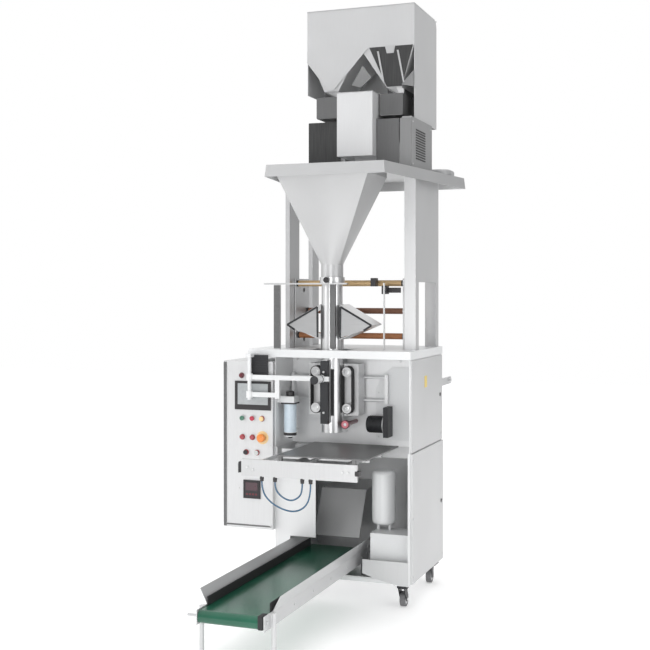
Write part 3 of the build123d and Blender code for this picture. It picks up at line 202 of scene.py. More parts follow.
# Near-black steel that is painted shade: it stands where only the shade in vent slots, openings and
# recesses is seen.
SHADE_SHEET = steel("painted_shade_sheet", 0.05, 0.5, "z", 0.35, 0.4)
MID_STEEL = steel("shaded_steel", 0.27, 0.42, "z", 0.05, 0.6)
GREY_DOOR = steel("grey_door", 0.15, 0.4, "z", 0.08, 0.5)

SLOT_OF = {part["node"]: part["material_slot"] for part in frame["record"]["subparts"]}
NODE_LOOKS = {
    # The weigh heads and the left bucket flap are darker copies of the steel, painted shade under the
    # hood; the left flap is darker than the right one.
    "weigh_heads": steel("head_steel", 0.16, 0.42, "z", 0.08, 0.6),
    "bucket_flap_left": GREY_DOOR,
    "bucket_flap_right": MID_STEEL,
    "discharge_chute": steel("chute_steel", 0.50, 0.32, "z", 0.02, 0.5),
    "discharge_box": steel("box_steel", 0.72, 0.34, "z", 0.02, 0.3),
    "weigher_hood": steel("hood_steel", 0.60, 0.36, "z", 0.02, 0.4),
    "weigher_base": steel("base_steel", 0.36, 0.42, "z", 0.06, 0.5),
    "funnel": steel("funnel_steel", 0.50, 0.42, "z", 0.02, 0.5),
    # The side panels are a darker copy of the cabinet's steel: painted shade on the machine's right side.
    "body_panels": steel("panel_steel", 0.60, 0.38, "z", 0.02, 0.45),
    "conveyor_frame": steel("guide_steel", 0.60, 0.36, "y", 0.03, 0.35),
    "platform": steel("deck_steel", 0.52, 0.42, "x", 0.02, 0.4),
    "guard_plate": LOOKS["dark_sheet"],
    # The housing is a lighter copy of the steel: painted light inside the bay.
    "upper_housing": steel("housing_steel", 0.82, 0.38, "z", 0.02, 0.3),
    "lower_cabinet": steel("cabinet_steel", 0.76, 0.40, "z", 0.02, 0.3),
    "tower_frame": steel("post_steel", 0.60, 0.36, "z", 0.03, 0.6),
}
for node_name, node_object in frame["nodes"].items():
    node_object.data.materials.clear()
    node_object.data.materials.append(NODE_LOOKS.get(node_name, LOOKS[SLOT_OF[node_name]]))


# ---- Hoses -------------------------------------------------------------------------------------------
HOSE_R, HOSE_Y = 4.0, -593.0
OUTER_HOSE = [(-141, 0, 690), (-141, 0, 652), (-110, -8, 604), (-45, -10, 566), (28, -6, 551),
              (86, -2, 580), (108, 0, 640), (108, 0, 690)]
INNER_HOSE = [(-73, 0, 690), (-73, 0, 654), (-42, 8, 616), (4, 9, 600), (46, 6, 619), (66, 0, 652),
              (66, 0, 690)]


def hose(name, node, route):
    """Air hose on a smooth line through its route."""
    curve = bpy.data.curves.new(name, "CURVE")
    curve.dimensions, curve.bevel_depth, curve.bevel_resolution = "3D", HOSE_R * MM, 5
    curve.resolution_u, curve.use_fill_caps = 16, True
    spline = curve.splines.new("NURBS")
    spline.points.add(len(route) - 1)
    for point, (x, y, z) in zip(spline.points, route):
        point.co = (*at(x, HOSE_Y + y, z), 1.0)
    spline.order_u, spline.use_endpoint_u = 3, True
    piece = bpy.data.objects.new(name, curve)
    bpy.context.scene.collection.objects.link(piece)
    curve.materials.append(LOOKS["hose_blue"])
    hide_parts(node)
    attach(piece, "machine")
    x, y, z = route[0]


hose("hose_outer", "outer_hose", OUTER_HOSE)
hose("hose_inner", "inner_hose", INNER_HOSE)


# ---- Mesh tools --------------------------------------------------------------------------------------
NUT_SIDES = 6


class Shape:
    """Collects bevelled slabs, turned parts and sheets in one mesh."""

    def __init__(self):
        self.mesh = bmesh.new()

    def break_edges(self, edges, reach):
        """Bevel that rounds edges off by a reach in metres."""
        bmesh.ops.bevel(self.mesh, geom=list(edges), offset=reach, segments=2, affect="EDGES",
                        profile=0.7)

    def slab(self, x, y, z, edge=1.0):
        """Block that fills three spans, with broken edges."""
        made = bmesh.ops.create_cube(self.mesh, size=1.0)["verts"]
        low, high = at(x[0], y[0], z[0]), at(x[1], y[1], z[1])
        size, middle = high - low, (low + high) / 2
        for vertex in made:
            vertex.co = Vector(vertex.co[i] * size[i] + middle[i] for i in range(3))
        edges = dict.fromkeys(each for vertex in made for each in vertex.link_edges)
        reach = min(edge * MM, 0.45 * min(abs(side) for side in size))
        self.break_edges(edges, reach)

    def turned(self, start, along, profile, sides=32):
        """Body of revolution from (distance, radius) points along a direction."""
        along = Vector(along).normalized()
        side = along.orthogonal().normalized()
        other = along.cross(side)
        origin, rings = at(*start), []
        for distance, radius in profile:
            middle = origin + along * distance * MM
            ring = []
            for step in range(sides):
                angle = 2 * pi * step / sides
                spoke = side * cos(angle) + other * sin(angle)
                ring.append(self.mesh.verts.new(middle + spoke * radius * MM))
            rings.append(ring)
        for before, after in zip(rings, rings[1:]):
            for step in range(sides):
                following = (step + 1) % sides
                self.mesh.faces.new((before[step], before[following], after[following], after[step]))
        for ring, turn in ((rings[0], -1), (rings[-1], 1)):
            self.mesh.faces.new(ring[::turn])

    def bar(self, start, along, length, radius, sides=32):
        """Round bar with chamfered ends; six sides make a nut."""
        edge = min(0.8, radius / 3, length / 3)
        self.turned(start, along, [(0, radius - edge), (edge, radius), (length - edge, radius),
                                   (length, radius - edge)], sides)

    def plate(self, outline, y, thickness, edge=0.6):
        """Upright plate facing the front, from (x, z) points anticlockwise as seen from the front."""
        front = [self.mesh.verts.new(at(x, y - thickness, z)) for x, z in outline]
        back = [self.mesh.verts.new(at(x, y, z)) for x, z in outline]
        faces = [self.mesh.faces.new(front), self.mesh.faces.new(back[::-1])]
        for step in range(len(outline)):
            after = (step + 1) % len(outline)
            faces.append(self.mesh.faces.new((front[after], front[step], back[step], back[after])))
        self.break_edges(dict.fromkeys(each for face in faces for each in face.edges), edge * MM)

    def done(self, name, look, body="machine", slot=None):
        """Make the object, with smooth shading that keeps sharp edges and flat faces.

        The look is a material, or the name of a slot, which the piece then takes its finish from."""
        if look in LOOKS:
            look, slot = LOOKS[look], look
        bmesh.ops.recalc_face_normals(self.mesh, faces=self.mesh.faces)
        data = bpy.data.meshes.new(name)
        self.mesh.to_mesh(data)
        self.mesh.free()
        piece = bpy.data.objects.new(name, data)
        bpy.context.scene.collection.objects.link(piece)
        data.materials.append(look)
        for face in data.polygons:
            face.use_smooth = True
        data.set_sharp_from_angle(angle=radians(35))
        flat = piece.modifiers.new("even_faces", "WEIGHTED_NORMAL")
        flat.keep_sharp = True
        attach(piece, body)


def screws(name, places, along, radius=5.0, body="machine"):
    """Socket screws whose heads stand out from a face."""
    heads = Shape()
    for place in places:
        heads.turned(place, along, [(0, radius), (radius * 0.5, radius), (radius * 0.72, radius * 0.8),
                                    (radius * 0.72, radius * 0.45)], 20)
        heads.turned(Vector(place) + Vector(along) * radius * 0.5, along,
                     [(0, radius * 0.44), (radius * 0.16, radius * 0.44)], NUT_SIDES)
    heads.done(name, "bright_steel", body)


def row(low, high, count):
    """Evenly spaced places from low to high."""
    return [low + (high - low) * step / (count - 1) for step in range(count)]


def inset(span, amount):
    """Span with both ends moved inwards."""
    return (span[0] + amount, span[1] - amount)


def centre(span):
    """Middle of a span."""
    return sum(span) / 2


def boxed(name, look, slabs, edge=1.0, body="machine"):
    """Piece made of slabs, each given by its spans in x, y and z."""
    shape = Shape()
    for x, y, z in slabs:
        shape.slab(x, y, z, edge)
    shape.done(name, look, body)


def spun(name, look, start, along, profile, sides, body="machine"):
    """Piece that is one body of revolution."""
    shape = Shape()
    shape.turned(start, along, profile, sides)
    shape.done(name, look, body)


# ---- Cabinet -----------------------------------------------------------------------------------------
body_x, body_y, body_z = spans("lower_cabinet")
housing_top = spans("upper_housing")[2][1]
seam_z = body_z[1]
LOWER_FACE = spans("body_panels")[0][1]
UPPER_FACE = LOWER_FACE - 6
MOUNT_Y = 140
MOTOR_AXIS = (90, 898)
FILTER_AXIS = (-216, -50)
FRONT_AXLE = (-36, 37.5)
AXLE_REACH = 17.2
REAR_WHEEL_WIDTH = 26
HUB_PROFILE = [(-0.5, 24), (0.4, 24), (0.7, 22), (0.5, 8)]


def cabinet_details():
    """Screws, latches, sill edge and vents of the cabinet, the vents dark with painted shade, and a blank
    plate.
    """
    side_y = (-78, 492)
    places = [(LOWER_FACE, y, z) for y in side_y for z in row(body_z[0] + 45, seam_z - 35, 3)]
    places += [(UPPER_FACE, y, z) for y in side_y for z in (seam_z + 35, housing_top - 40)]
    screws("panel_screws", places, RIGHT, 5.0)
    boxed("blank_plate", YELLOW, [((UPPER_FACE, UPPER_FACE + 1.2), (150, 196), (1092, 1152))], 0.5)
    latch = Shape()
    for face, z in ((LOWER_FACE, seam_z - 330), (UPPER_FACE, seam_z + 250)):
        latch.turned((face, 470, z), RIGHT, [(0, 11), (1.5, 11), (2.2, 9.5), (2.2, 6), (1.0, 5)], 28)
    latch.done("quarter_turn_latches", "black_plastic")
    sill = ((body_x[0] + 160, body_x[1] - 14), (body_y[0] - 1.2, body_y[0] + 10), (138, 146))
    boxed("bay_sill_edge", "bright_steel", [sill])
    back = (body_y[1] - 0.5, body_y[1] + 3)
    # The vent slats take the near-black sheet: painted shade in the vent openings.
    vents = [((start, start + 120), back, (z, z + 6))
             for start in (body_x[0] + 90, body_x[0] + 390) for z in row(560, 680, 9)]
    boxed("rear_vents", SHADE_SHEET, vents, 1.5)


def bay_details():
    """Motor fins, gauge and screws in the upper bay."""
    left = spans("film_motor")[0][0]
    fins = Shape()
    for x in row(left + 8, left + 80, 9):
        fins.turned((x, *MOTOR_AXIS), RIGHT, [(0, 43.6), (0.6, 44.6), (3.4, 44.6), (4, 43.6)], 40)
    fins.turned((left - 7, *MOTOR_AXIS), RIGHT, [(0, 26), (3, 36), (7, 39)], 40)
    fins.done("film_motor_fins", "black_metal")
    spun("film_motor_rings", "stainless", (left + 84, *MOTOR_AXIS), RIGHT,
         [(0, 42), (0.8, 45.5), (5.2, 45.5), (6, 42)], 40)
    places = [(x, MOUNT_Y, z) for x in (-250, -20, 30, 330, 420) for z in (850, 1225)]
    screws("mounting_screws", places, FRONT, 6.0)
    x, y, z = spans("pressure_gauge")
    middle = (centre(x), y[0], centre(z))
    spun("gauge_rim", "maroon", middle, FRONT,
         [(0, 22.4), (2.6, 22.4), (3.2, 21.4), (3.2, 19.4), (1.2, 19)], 40)
    spun("gauge_face", PINK, middle, FRONT, [(0, 19), (1.3, 19), (1.4, 18.5)], 40)
    spun("gauge_hub", "white_paint", middle, FRONT, [(0, 8), (2.0, 8), (2.3, 7)], 24)


def bay_cover():
    """White cover on the right of the bay's mounting plate."""
    back, thickness = MOUNT_Y - 0.4, 6
    cover = Shape()
    cover.plate([(196, 812), (428, 812), (428, 1196), (286, 1196), (236, 1160), (196, 1080)], back,
                thickness, 2.0)
    cover.done("bay_back_cover", "white_paint")
    places = [(x, back - thickness, z) for x in (212, 414) for z in (828, 1060)]
    screws("bay_cover_screws", places, FRONT, 4.5)


def air_filter():
    """Filter bowl with a dark base and cap, hung in the left of the bay."""
    spun("filter_bowl", ICE_BLUE, (*FILTER_AXIS, 850), UP, [(0, 28), (8, 33), (150, 33.5), (158, 31)], 40)
    ends = Shape()
    ends.turned((*FILTER_AXIS, 824), UP,
                [(0, 10), (6, 12), (10, 28), (18, 34), (28, 34.5), (30, 33)], 40)
    cap_x, cap_y = ((middle - 37.5, middle + 37.5) for middle in FILTER_AXIS)
    ends.slab(cap_x, cap_y, (1004, 1012), 2)
    ends.done("filter_ends", "black_plastic")
    spun("filter_knob", "black_plastic", (*FILTER_AXIS, 1044), UP,
         [(0, 20), (4, 22), (22, 22), (26, 18)], 12)


def wheel_hubs(node, name, faces):
    """Bright hubs on a wheel's faces, each given by its x and its direction."""
    x, y, z = spans(node)
    hubs = Shape()
    for face, along in faces:
        hubs.turned((face, centre(y), centre(z)), along, HUB_PROFILE, 36)
    hubs.done(name, "stainless", node)


def caster_details():
    """Wheel hubs, axle ends and plate bolts of the casters."""
    for node in ("front_wheel_left", "front_wheel_right"):
        x = spans(node)[0]
        wheel_hubs(node, node + "_hub", [(x[0], LEFT), (x[1], RIGHT)])
    x = spans("rear_wheels")[0]
    wheel_hubs("rear_wheels", "rear_wheel_hubs",
               [(start + reach, along) for start in (x[0], x[1] - REAR_WHEEL_WIDTH)
                for reach, along in ((0, LEFT), (REAR_WHEEL_WIDTH, RIGHT))])
    for node in ("front_fork_left", "front_fork_right"):
        middle = centre(spans(node)[0])
        screws(node + "_axle_nuts", [(middle - AXLE_REACH, *FRONT_AXLE)], LEFT, 7.0, node)
        screws(node + "_axle_heads", [(middle + AXLE_REACH, *FRONT_AXLE)], RIGHT, 7.0, node)
    corners = [(x + dx, dy - 60, 115) for x in (-230, 400) for dx in (-32, 32) for dy in (-32, 32)]
    screws("caster_plate_bolts", corners, DOWN, 4.5)


# ---- Weigher -----------------------------------------------------------------------------------------
hood_x, hood_y, hood_z = spans("weigher_hood")
base_x, base_y, base_z = spans("weigher_base")
box_x, box_y, box_z = spans("discharge_box")


def hood_details():
    """Cover sheet, a near-black sheet of painted shade inside the right cut-out, ribs and rim of the hood.
    """
    front = hood_y[0]
    panel_low, throat = hood_z[1] - 220, base_z[1] + 172
    cover = Shape()
    cover.plate([(hood_x[0], panel_low + 6), (hood_x[0], panel_low - 55), (-80, throat), (-50, throat),
                 (149, panel_low + 6)], front - 0.4, 2.0)
    cover.done("hood_left_cover", NODE_LOOKS["weigher_hood"], slot="bright_steel")
    # Near-black sheet just behind the front: painted shade inside the right cut-out.
    inner = Shape()
    inner.plate([(152, panel_low + 3), (250, throat + 2), (332, throat + 2),
                 (hood_x[1] - 8, panel_low + 3)], front - 0.2, 1.0)
    inner.done("hood_right_shade_sheet", SHADE_SHEET)
    ribs = Shape()
    ribs.plate([(hood_x[1] - 160, panel_low + 4), (hood_x[1] - 150, panel_low - 34),
                (hood_x[1] - 112, panel_low - 34), (hood_x[1] - 104, panel_low + 4)], front - 1.2, 2.0)
    for x in (196, 305):
        ribs.plate([(x, panel_low - 20), (x + 34, throat + 22), (x + 42, throat + 22),
                    (x + 10, panel_low - 20)], front - 1.2, 3.0)
    ribs.done("hood_right_ribs", "stainless")
    wedges = Shape()
    wedges.plate([(117, throat + 122), (56, throat + 22), (105, throat + 6), (166, throat + 56)],
                 front - 2, 2.0)
    wedges.plate([(hood_x[1] - 2, throat + 82), (331, throat + 10), (hood_x[1] - 2, throat - 6)],
                 front - 2, 2.0)
    wedges.done("hood_wedges", MID_STEEL)
    edge_z = (hood_z[1] - 4, hood_z[1] + 2)
    rim = [((hood_x[0] - 1, hood_x[1] + 1), (y - 3, y + 3), edge_z) for y in inset(hood_y, 1.5)]
    rim += [((x - 3, x + 3), (hood_y[0] - 1, hood_y[1] - 40), edge_z) for x in inset(hood_x, 1.5)]
    boxed("hood_rim", "bright_steel", rim, 1.5)


def base_details():
    """Lip of the discharge box, and a near-black sheet of painted shade at the left of the front, door,
    vents with painted shade in their slots, and screws of the weigher's base.
    """
    edge_z = (box_z[1] - 3, box_z[1] + 2)
    lip = [(inset(box_x, -1.5), (y - 2.5, y + 2.5), edge_z) for y in inset(box_y, 1)]
    lip += [((x - 2.5, x + 2.5), inset(box_y, 3), edge_z) for x in inset(box_x, 1)]
    boxed("discharge_lip", "bright_steel", lip, 1.2)
    # Near-black sheet at the base's front left: painted shade.
    boxed("base_front_shade_sheet", SHADE_SHEET,
          [((base_x[0] + 2, box_x[0] - 26), (118, 129.6), (base_z[0] + 1, base_z[1] - 2))], 2)
    face_y, face_z = (base_y[0] - 3, base_y[0] - 0.2), (base_z[0] + 4, base_z[1] - 8)
    boxed("base_dark_door", GREY_DOOR, [((box_x[1] + 2, 345), face_y, face_z)], 2)
    boxed("base_stile", MID_STEEL, [((349, base_x[1] - 1), face_y, face_z)], 2)
    # Near-black grille bars on the right side: painted shade in the vent slots.
    grilles = [((base_x[1] - 0.5, base_x[1] + 2.5), (150, 330), (z - 3.5, z + 3.5))
               for z in row(base_z[0] + 60, base_z[1] - 60, 12)]
    boxed("base_side_vents", SHADE_SHEET, grilles, 1.5)
    places = [(base_x[1], y, z) for y in (90, 445) for z in inset(base_z, 25)]
    screws("base_screws", places, RIGHT, 4.5)


# ---- Controls ----------------------------------------------------------------------------------------
PANEL_Y = -134
BUTTON_X, BUTTON_Z = (-451, -394, -340), (929, 830)
KNOB_X, KNOB_Z = (-430, -369), 751
LENS_RADIUS, LENS_HEIGHT = 12.5, 6
BEZEL_RADIUS, KNOB_BEZEL_RADIUS = 17, 15


def drive_cover_and_shade():
    """Dark ribbed box on the control box, behind the swing arm: partly a drive cover, partly painted shade
    of the gap there.
    """
    cover = Shape()
    # The black box is partly the drive's cover and partly painted shade of the dark gap behind the arm.
    cover.slab((-398, -304), (PANEL_Y - 13, PANEL_Y - 0.5), (1138, 1262), 4)
    for z in row(1150, 1250, 9):
        cover.slab((-393, -309), (PANEL_Y - 15, PANEL_Y - 12), (z - 1.6, z + 1.6), 0.8)
    cover.done("arm_drive_box_and_shade", "black_metal")


def cap(name, look, body, place, radius, height):
    """Rounded cap of a push button or a lamp."""
    x, y, z = place
    spun(name, look, (x, y + height * 0.35, z), FRONT,
         [(0, radius), (height * 0.55, radius), (height * 0.85, radius * 0.86), (height, radius * 0.55)],
         32, body)


def screen_details():
    """Glass of the operator screen, and bezel, window and keys of the temperature controller."""
    x, y, z = spans("operator_screen")
    glass = ((x[0] + 18, x[1] - 14), (y[0] - 0.9, y[0] + 0.5), (z[0] + 28, z[1] - 12))
    boxed("screen_glass", GLASS_GREY, [glass], 0.4)
    x, y, z = spans("temperature_controller")
    proud = (y[0] - 1.6, y[0] + 0.5)
    ring = [(inset(x, 5), proud, span) for span in ((z[0] + 5, z[0] + 8), (z[1] - 8, z[1] - 5))]
    ring += [(span, proud, inset(z, 8)) for span in ((x[0] + 5, x[0] + 8), (x[1] - 8, x[1] - 5))]
    boxed("controller_bezel", "black_plastic", ring, 0.6)
    window = (inset(x, 14), (y[0] - 0.8, y[0] + 0.5), (z[0] + 42, z[1] - 12))
    boxed("controller_window", RED_GLASS, [window], 0.4)
    keys = [((key_x - 6, key_x + 6), (y[0] - 1.4, y[0] + 0.5), (z[0] + 18, z[0] + 28))
            for key_x in row(x[0] + 22, x[1] - 22, 4)]
    boxed("controller_keys", "maroon", keys, 1.5)
    places = [(edge, y[0] + 8, centre(z) + 2) for edge in (x[0] - 26, x[1] + 22)]
    screws("controller_side_screws", places, FRONT, 4.0)


def button_details():
    """Caps, lenses, bezels, stop plate and key switch on the control panel."""
    for node, look, radius, height in (("green_button", "green_plastic", 12.5, 7),
                                       ("red_button", "red_plastic", 12.5, 7),
                                       ("emergency_stop", "orange_plastic", 21.5, 14)):
        x, y, z = spans(node)
        cap(node + "_cap", look, node, (centre(x), y[0], centre(z)), radius, height)
    lamps_y = spans("pilot_lamps")[1][0]
    for name, x, z, material in (("amber", BUTTON_X[2], BUTTON_Z[0], AMBER),
                                 ("red_left", BUTTON_X[0], BUTTON_Z[1], LOOKS["lamp_plastic"]),
                                 ("red_middle", BUTTON_X[1], BUTTON_Z[1], LOOKS["lamp_plastic"]),
                                 ("dark", KNOB_X[0], KNOB_Z, LOOKS["black_plastic"]),
                                 ("clear", KNOB_X[1], KNOB_Z, PALE_LENS)):
        cap("lamp_" + name, material, "machine", (x, lamps_y, z), LENS_RADIUS, LENS_HEIGHT)
    bezels = Shape()
    places = [(x, BUTTON_Z[0], BEZEL_RADIUS) for x in BUTTON_X]
    places += [(x, BUTTON_Z[1], BEZEL_RADIUS) for x in BUTTON_X[:2]]
    places += [(x, KNOB_Z, KNOB_BEZEL_RADIUS) for x in KNOB_X]
    for x, z, radius in places:
        bezels.turned((x, PANEL_Y, z), FRONT,
                      [(0, radius), (1.6, radius), (2.4, radius - 1.2), (2.4, radius - 2.2)], 36)
    bezels.done("button_bezels", "stainless")
    x, y, z = spans("emergency_stop")
    spun("stop_plate", AMBER, (centre(x), PANEL_Y, centre(z)), FRONT, [(0, 34), (1.0, 34), (1.4, 33)], 48)
    spun("key_switch", "maroon", (-456, PANEL_Y, 1152), FRONT,
         [(0, 15), (3, 15), (4, 12), (14, 11), (17, 9), (17.4, 4)], 32)


def panel_details():
    """Dark strips of painted shade in the door's reveal at its left and bottom, vent trim and corner
    screws of the control panel.
    """
    x, y, z = spans("control_box")
    back = PANEL_Y + 0.4
    # Dark strips at the door's left edge and along its bottom: painted shade in the recess round the door.
    boxed("panel_edge_shade", "dark_sheet",
          [((-560, -543), (PANEL_Y - 3, back), (z[1] - 868, z[1] - 6)),
           ((-543, x[1] - 8), (PANEL_Y - 2, back), (z[1] - 862, z[1] - 854))])
    boxed("vent_trim", MID_STEEL, [((-478, -470), (PANEL_Y - 1.4, back), (640, 690)),
                                   ((-470, -300), (PANEL_Y - 1.4, back), (684, 690))])
    places = [(x, PANEL_Y, z) for x in (-545, -292) for z in (372, 790, 1212)]
    screws("panel_corner_screws", places, FRONT, 3.5)


# ---- Film path and forming set -----------------------------------------------------------------------
def film_details():
    """Roller caps, sensors, strip cover, tube guide and knobs of the film path."""
    for node in ("roller_upper", "roller_middle", "roller_lower"):
        x, y, z = spans(node)
        caps = Shape()
        for edge, along in ((x[0], RIGHT), (x[1], LEFT)):
            caps.turned((edge, centre(y), centre(z)), along, [(-1, 12), (0, 17), (7, 17), (8, 16.2)], 36)
        caps.done(node + "_caps", "black_plastic", node)
    sensors = Shape()
    for x, z in ((190, 1640), (250, 1600)):
        sensors.slab((x, x + 26), (60, 110), (z - 22, z + 22), 2)
        sensors.slab((x + 8, x + 16), (110, 150), (z - 8, z + 8), 1)
    sensors.slab((262, 342), (100, 108), (1585, 1612), 2)
    sensors.done("sensor_housings", "black_plastic")
    strip = Shape()
    strip.slab((-293, -257), (-90.5, -88.1), (1296, 1624), 1)
    for z in row(1340, 1590, 4):
        strip.turned((-275, -90.5, z), FRONT, [(0, 11), (1.5, 11), (2.2, 9.8), (2.2, 8)], 28)
    strip.done("strip_cover", "dark_sheet")
    boxed("tube_guide", "dark_sheet", [((8, 36), (-59.5, -40), (1296, 1634))], 2)


def shoulder_details():
    """Sheets with dark edges on both sides of the tube."""
    for turn, name in ((-1, "left"), (1, "right")):
        outline = [(turn * 64, 1512), (turn * 232, 1418), (turn * 190, 1392), (turn * 62, 1354)]
        wing = Shape()
        wing.plate(outline if turn < 0 else outline[::-1], -50.5, 1.5)
        wing.done(f"shoulder_{name}", WING_STEEL)
        edges = Shape()
        for (x0, z0), (x1, z1) in zip(outline[:2] + outline[3:], outline[1:3] + outline[:1]):
            length = ((x1 - x0) ** 2 + (z1 - z0) ** 2) ** 0.5
            edges.bar((x0, -53, z0), (x1 - x0, 0, z1 - z0), length, 5.0, 12)
        edges.done(f"shoulder_{name}_edge", "black_metal")


def frame_knobs():
    """Knobs on the outer faces of the film frame."""
    knobs = Shape()
    for x, along in ((-256, LEFT), (344, RIGHT)):
        for z in (1330, 1600):
            knobs.turned((x, 250, z), along, [(0, 12), (5, 12), (6, 10)], 24)
    knobs.done("film_frame_knobs", "black_plastic")


def funnel_details():
    """Knob of the funnel clamp, and the dark backing of the seal on the tube."""
    x, y, z = spans("funnel_clamp")
    spun("clamp_knob", "black_plastic", (0, y[0] + 2, centre(z)), FRONT,
         [(0, 6), (8, 6), (9, 14), (22, 15), (25, 12)], 12)
    boxed("seal_backing", "black_rubber", [((12, 28), (-57.4, -48), (950, 1190))], 1.5)


# ---- Seals and belts ---------------------------------------------------------------------------------
JAW_FACE, JAW_ROWS = 40, (733, 767)
ARM_Z, ARM_COLLAR_R = 1148, 21.5


def jaw_details():
    """Bolts, hose fittings, serrations, heaters and bar ends of the cross seal."""
    front = spans("jaw_frame")[1][0]
    places = [(-214, front, 752), (-186, front, 742), (296, front, 752), (268, front, 752)]
    screws("crossbar_bolts", places, FRONT, 7.0)
    fittings = Shape()
    for x in (OUTER_HOSE[0][0], INNER_HOSE[0][0], INNER_HOSE[-1][0], OUTER_HOSE[-1][0]):
        fittings.turned((x, HOSE_Y, 712), DOWN,
                        [(0, 9), (2, 10), (14, 10), (14.5, 8.6), (21, 8.6), (22, 6.5)], 24)
        fittings.turned((x, HOSE_Y, 695), DOWN, [(0, 9.2), (5, 9.2), (6.5, 7.5)], 24)
    fittings.done("hose_fittings", "black_plastic")
    for node, turn in (("front_jaw", -1), ("rear_jaw", 1)):
        face = turn * JAW_FACE
        ridges = [((-149, 149), sorted((face, face - turn * 1.2)), (height, height + 1.6))
                  for z in JAW_ROWS for height in row(z - 9, z + 9, 7)]
        boxed(node + "_serrations", "jaw_aluminium", ridges, 0.4, node)
        heaters = Shape()
        for end in (-1, 1):
            for z in (735, 765):
                heaters.turned((end * 150, 1.6 * face, z), (end, 0, 0),
                               [(0, 5), (14, 5), (15, 3.4), (26, 3)], 18)
        heaters.done(node + "_heaters", "black_rubber", node)
    ends = Shape()
    ends.slab((-262, -236), (front + 2, front + 40), (724, 776), 3)
    ends.slab((330, 352), (front - 4, front + 30), (738, 762), 5)
    ends.done("crossbar_ends", "black_plastic")


def seal_details():
    """Casing and nuts of the seal bar, and collars of its air cylinder."""
    x, y, z = spans("seal_bar")
    casing = (inset(x, -2), (-125, -96), inset(z, 2))
    boxed("seal_bar_casing", "black_metal", [casing], 3, "seal_bar")
    nuts = Shape()
    for height in inset(z, 60):
        nuts.bar((0, -125, height), FRONT, 9, 6, NUT_SIDES)
    nuts.done("seal_bar_nuts", "bright_steel", "seal_bar")
    front = spans("seal_arm")[1][0]
    collars = Shape()
    collars.bar((0, front + 1, ARM_Z), FRONT, 6, ARM_COLLAR_R, 36)
    collars.bar((0, front + 78, ARM_Z), FRONT, 8, ARM_COLLAR_R, 36)
    collars.done("air_cylinder_caps", "black_metal", "seal_arm")


def belt_details():
    """Ribs on the pull belts, and hubs on their pulleys."""
    rib_count, bend_ribs = 22, 9
    for side, turn in (("left", -1), ("right", 1)):
        x, y, z = spans("pull_belt_" + side)
        middle, radius = centre(x), (x[1] - x[0]) / 2
        low, high = inset(z, radius)
        ribs = Shape()
        for step in range(rib_count):
            height = low + (high - low) * (step + 0.5) / rib_count
            ribs.slab(sorted((middle + turn * (radius - 0.4), middle + turn * (radius + 0.8))),
                      inset(y, 1.5), (height - 2.2, height + 2.2), 0.5)
        for step in range(bend_ribs):
            angle = pi * (step + 0.5) / bend_ribs
            for end, way in ((high, 1), (low, -1)):
                place = (middle + cos(angle) * (radius - 0.4), y[0] + 1.5,
                         end + way * sin(angle) * (radius - 0.4))
                ribs.bar(place, BACK, y[1] - y[0] - 3, 1.4, 8)
        ribs.done(f"pull_belt_{side}_ribs", "black_rubber", "belt_carriage_" + side)
        for node in (f"idler_pulley_{side}", f"drive_pulley_{side}"):
            x, y, z = spans(node)
            spun(node + "_hub", "bright_steel", (centre(x), y[0], centre(z)), FRONT,
                 [(0, 15), (3, 14), (3.6, 12), (3.6, 7), (1.5, 6.2)], 32, node)


# ---- Conveyor ----------------------------------------------------------------------------------------
SIDE_FACE = 157
LEG_X, LEG_Y = 168, -1175


def conveyor_details():
    """Screws, foot nuts, belt beads, black strips of painted shade along the belt's edges and on its right
    front corner, and the roller shaft of the conveyor.
    """
    x, y, z = spans("conveyor_belt")
    screws("conveyor_side_screws", [(SIDE_FACE, place, 215) for place in row(-1150, 20, 6)], RIGHT, 5.0)
    feet = Shape()
    for leg_x in (-LEG_X, LEG_X):
        feet.turned((leg_x, LEG_Y, 8), UP, [(0, 16), (3, 15), (5, 12.6), (14, 12.6), (15, 11.4)],
                    NUT_SIDES)
    feet.done("conveyor_foot_nuts", "bright_steel")
    beads = Shape()
    for edge_x in inset(x, 2.5):
        beads.slab((edge_x - 2, edge_x + 2), inset(y, 30), (z[1] - 0.4, z[1] + 0.8), 0.4)
    beads.slab((-3, 3), (y[0] + 330, y[0] + 332), (z[1] - 0.4, z[1] + 0.5), 0.3)
    beads.done("belt_edge_beads", "belt_green")
    shade_strips = Shape()
    # Black strips along the belt's edges inside the guides: painted shade.
    for edge_x in inset(x, 4):
        shade_strips.slab((edge_x - 2.5, edge_x + 2.5), (y[0] + 90, y[1] - 60), (z[1] + 1, z[1] + 40), 1.0)
    # Black block on the belt's right front corner: painted shadow between the belt's end and the guide.
    shade_strips.slab((x[1] - 22, x[1] + 0.8), (y[0] - 1.5, y[0] + 52), (z[0] + 4, z[1] + 6), 3.0)
    shade_strips.done("belt_shade_strips", "black_rubber")
    shaft = Shape()
    shaft.bar((x[0] - 3, y[0] + 32, centre(z)), LEFT, 58, 7, 24)
    shaft.done("roller_shaft_end", "bright_steel")


for details in (cabinet_details, bay_details, bay_cover, air_filter, drive_cover_and_shade, caster_details,
                hood_details, base_details, screen_details, button_details, panel_details, film_details,
                shoulder_details, frame_knobs, funnel_details, jaw_details, seal_details, belt_details,
                conveyor_details):
    details()


# ---- Stage and light ---------------------------------------------------------------------------------
FLOOR_REACH = 14.0
FLOOR_GLOW = 0.28
SHADED = (((0.86, 0.50, 0.0), 0.60, 0.86, 0.22), ((0.1, -0.95, -0.3), 0.0, 0.9, 0.36))


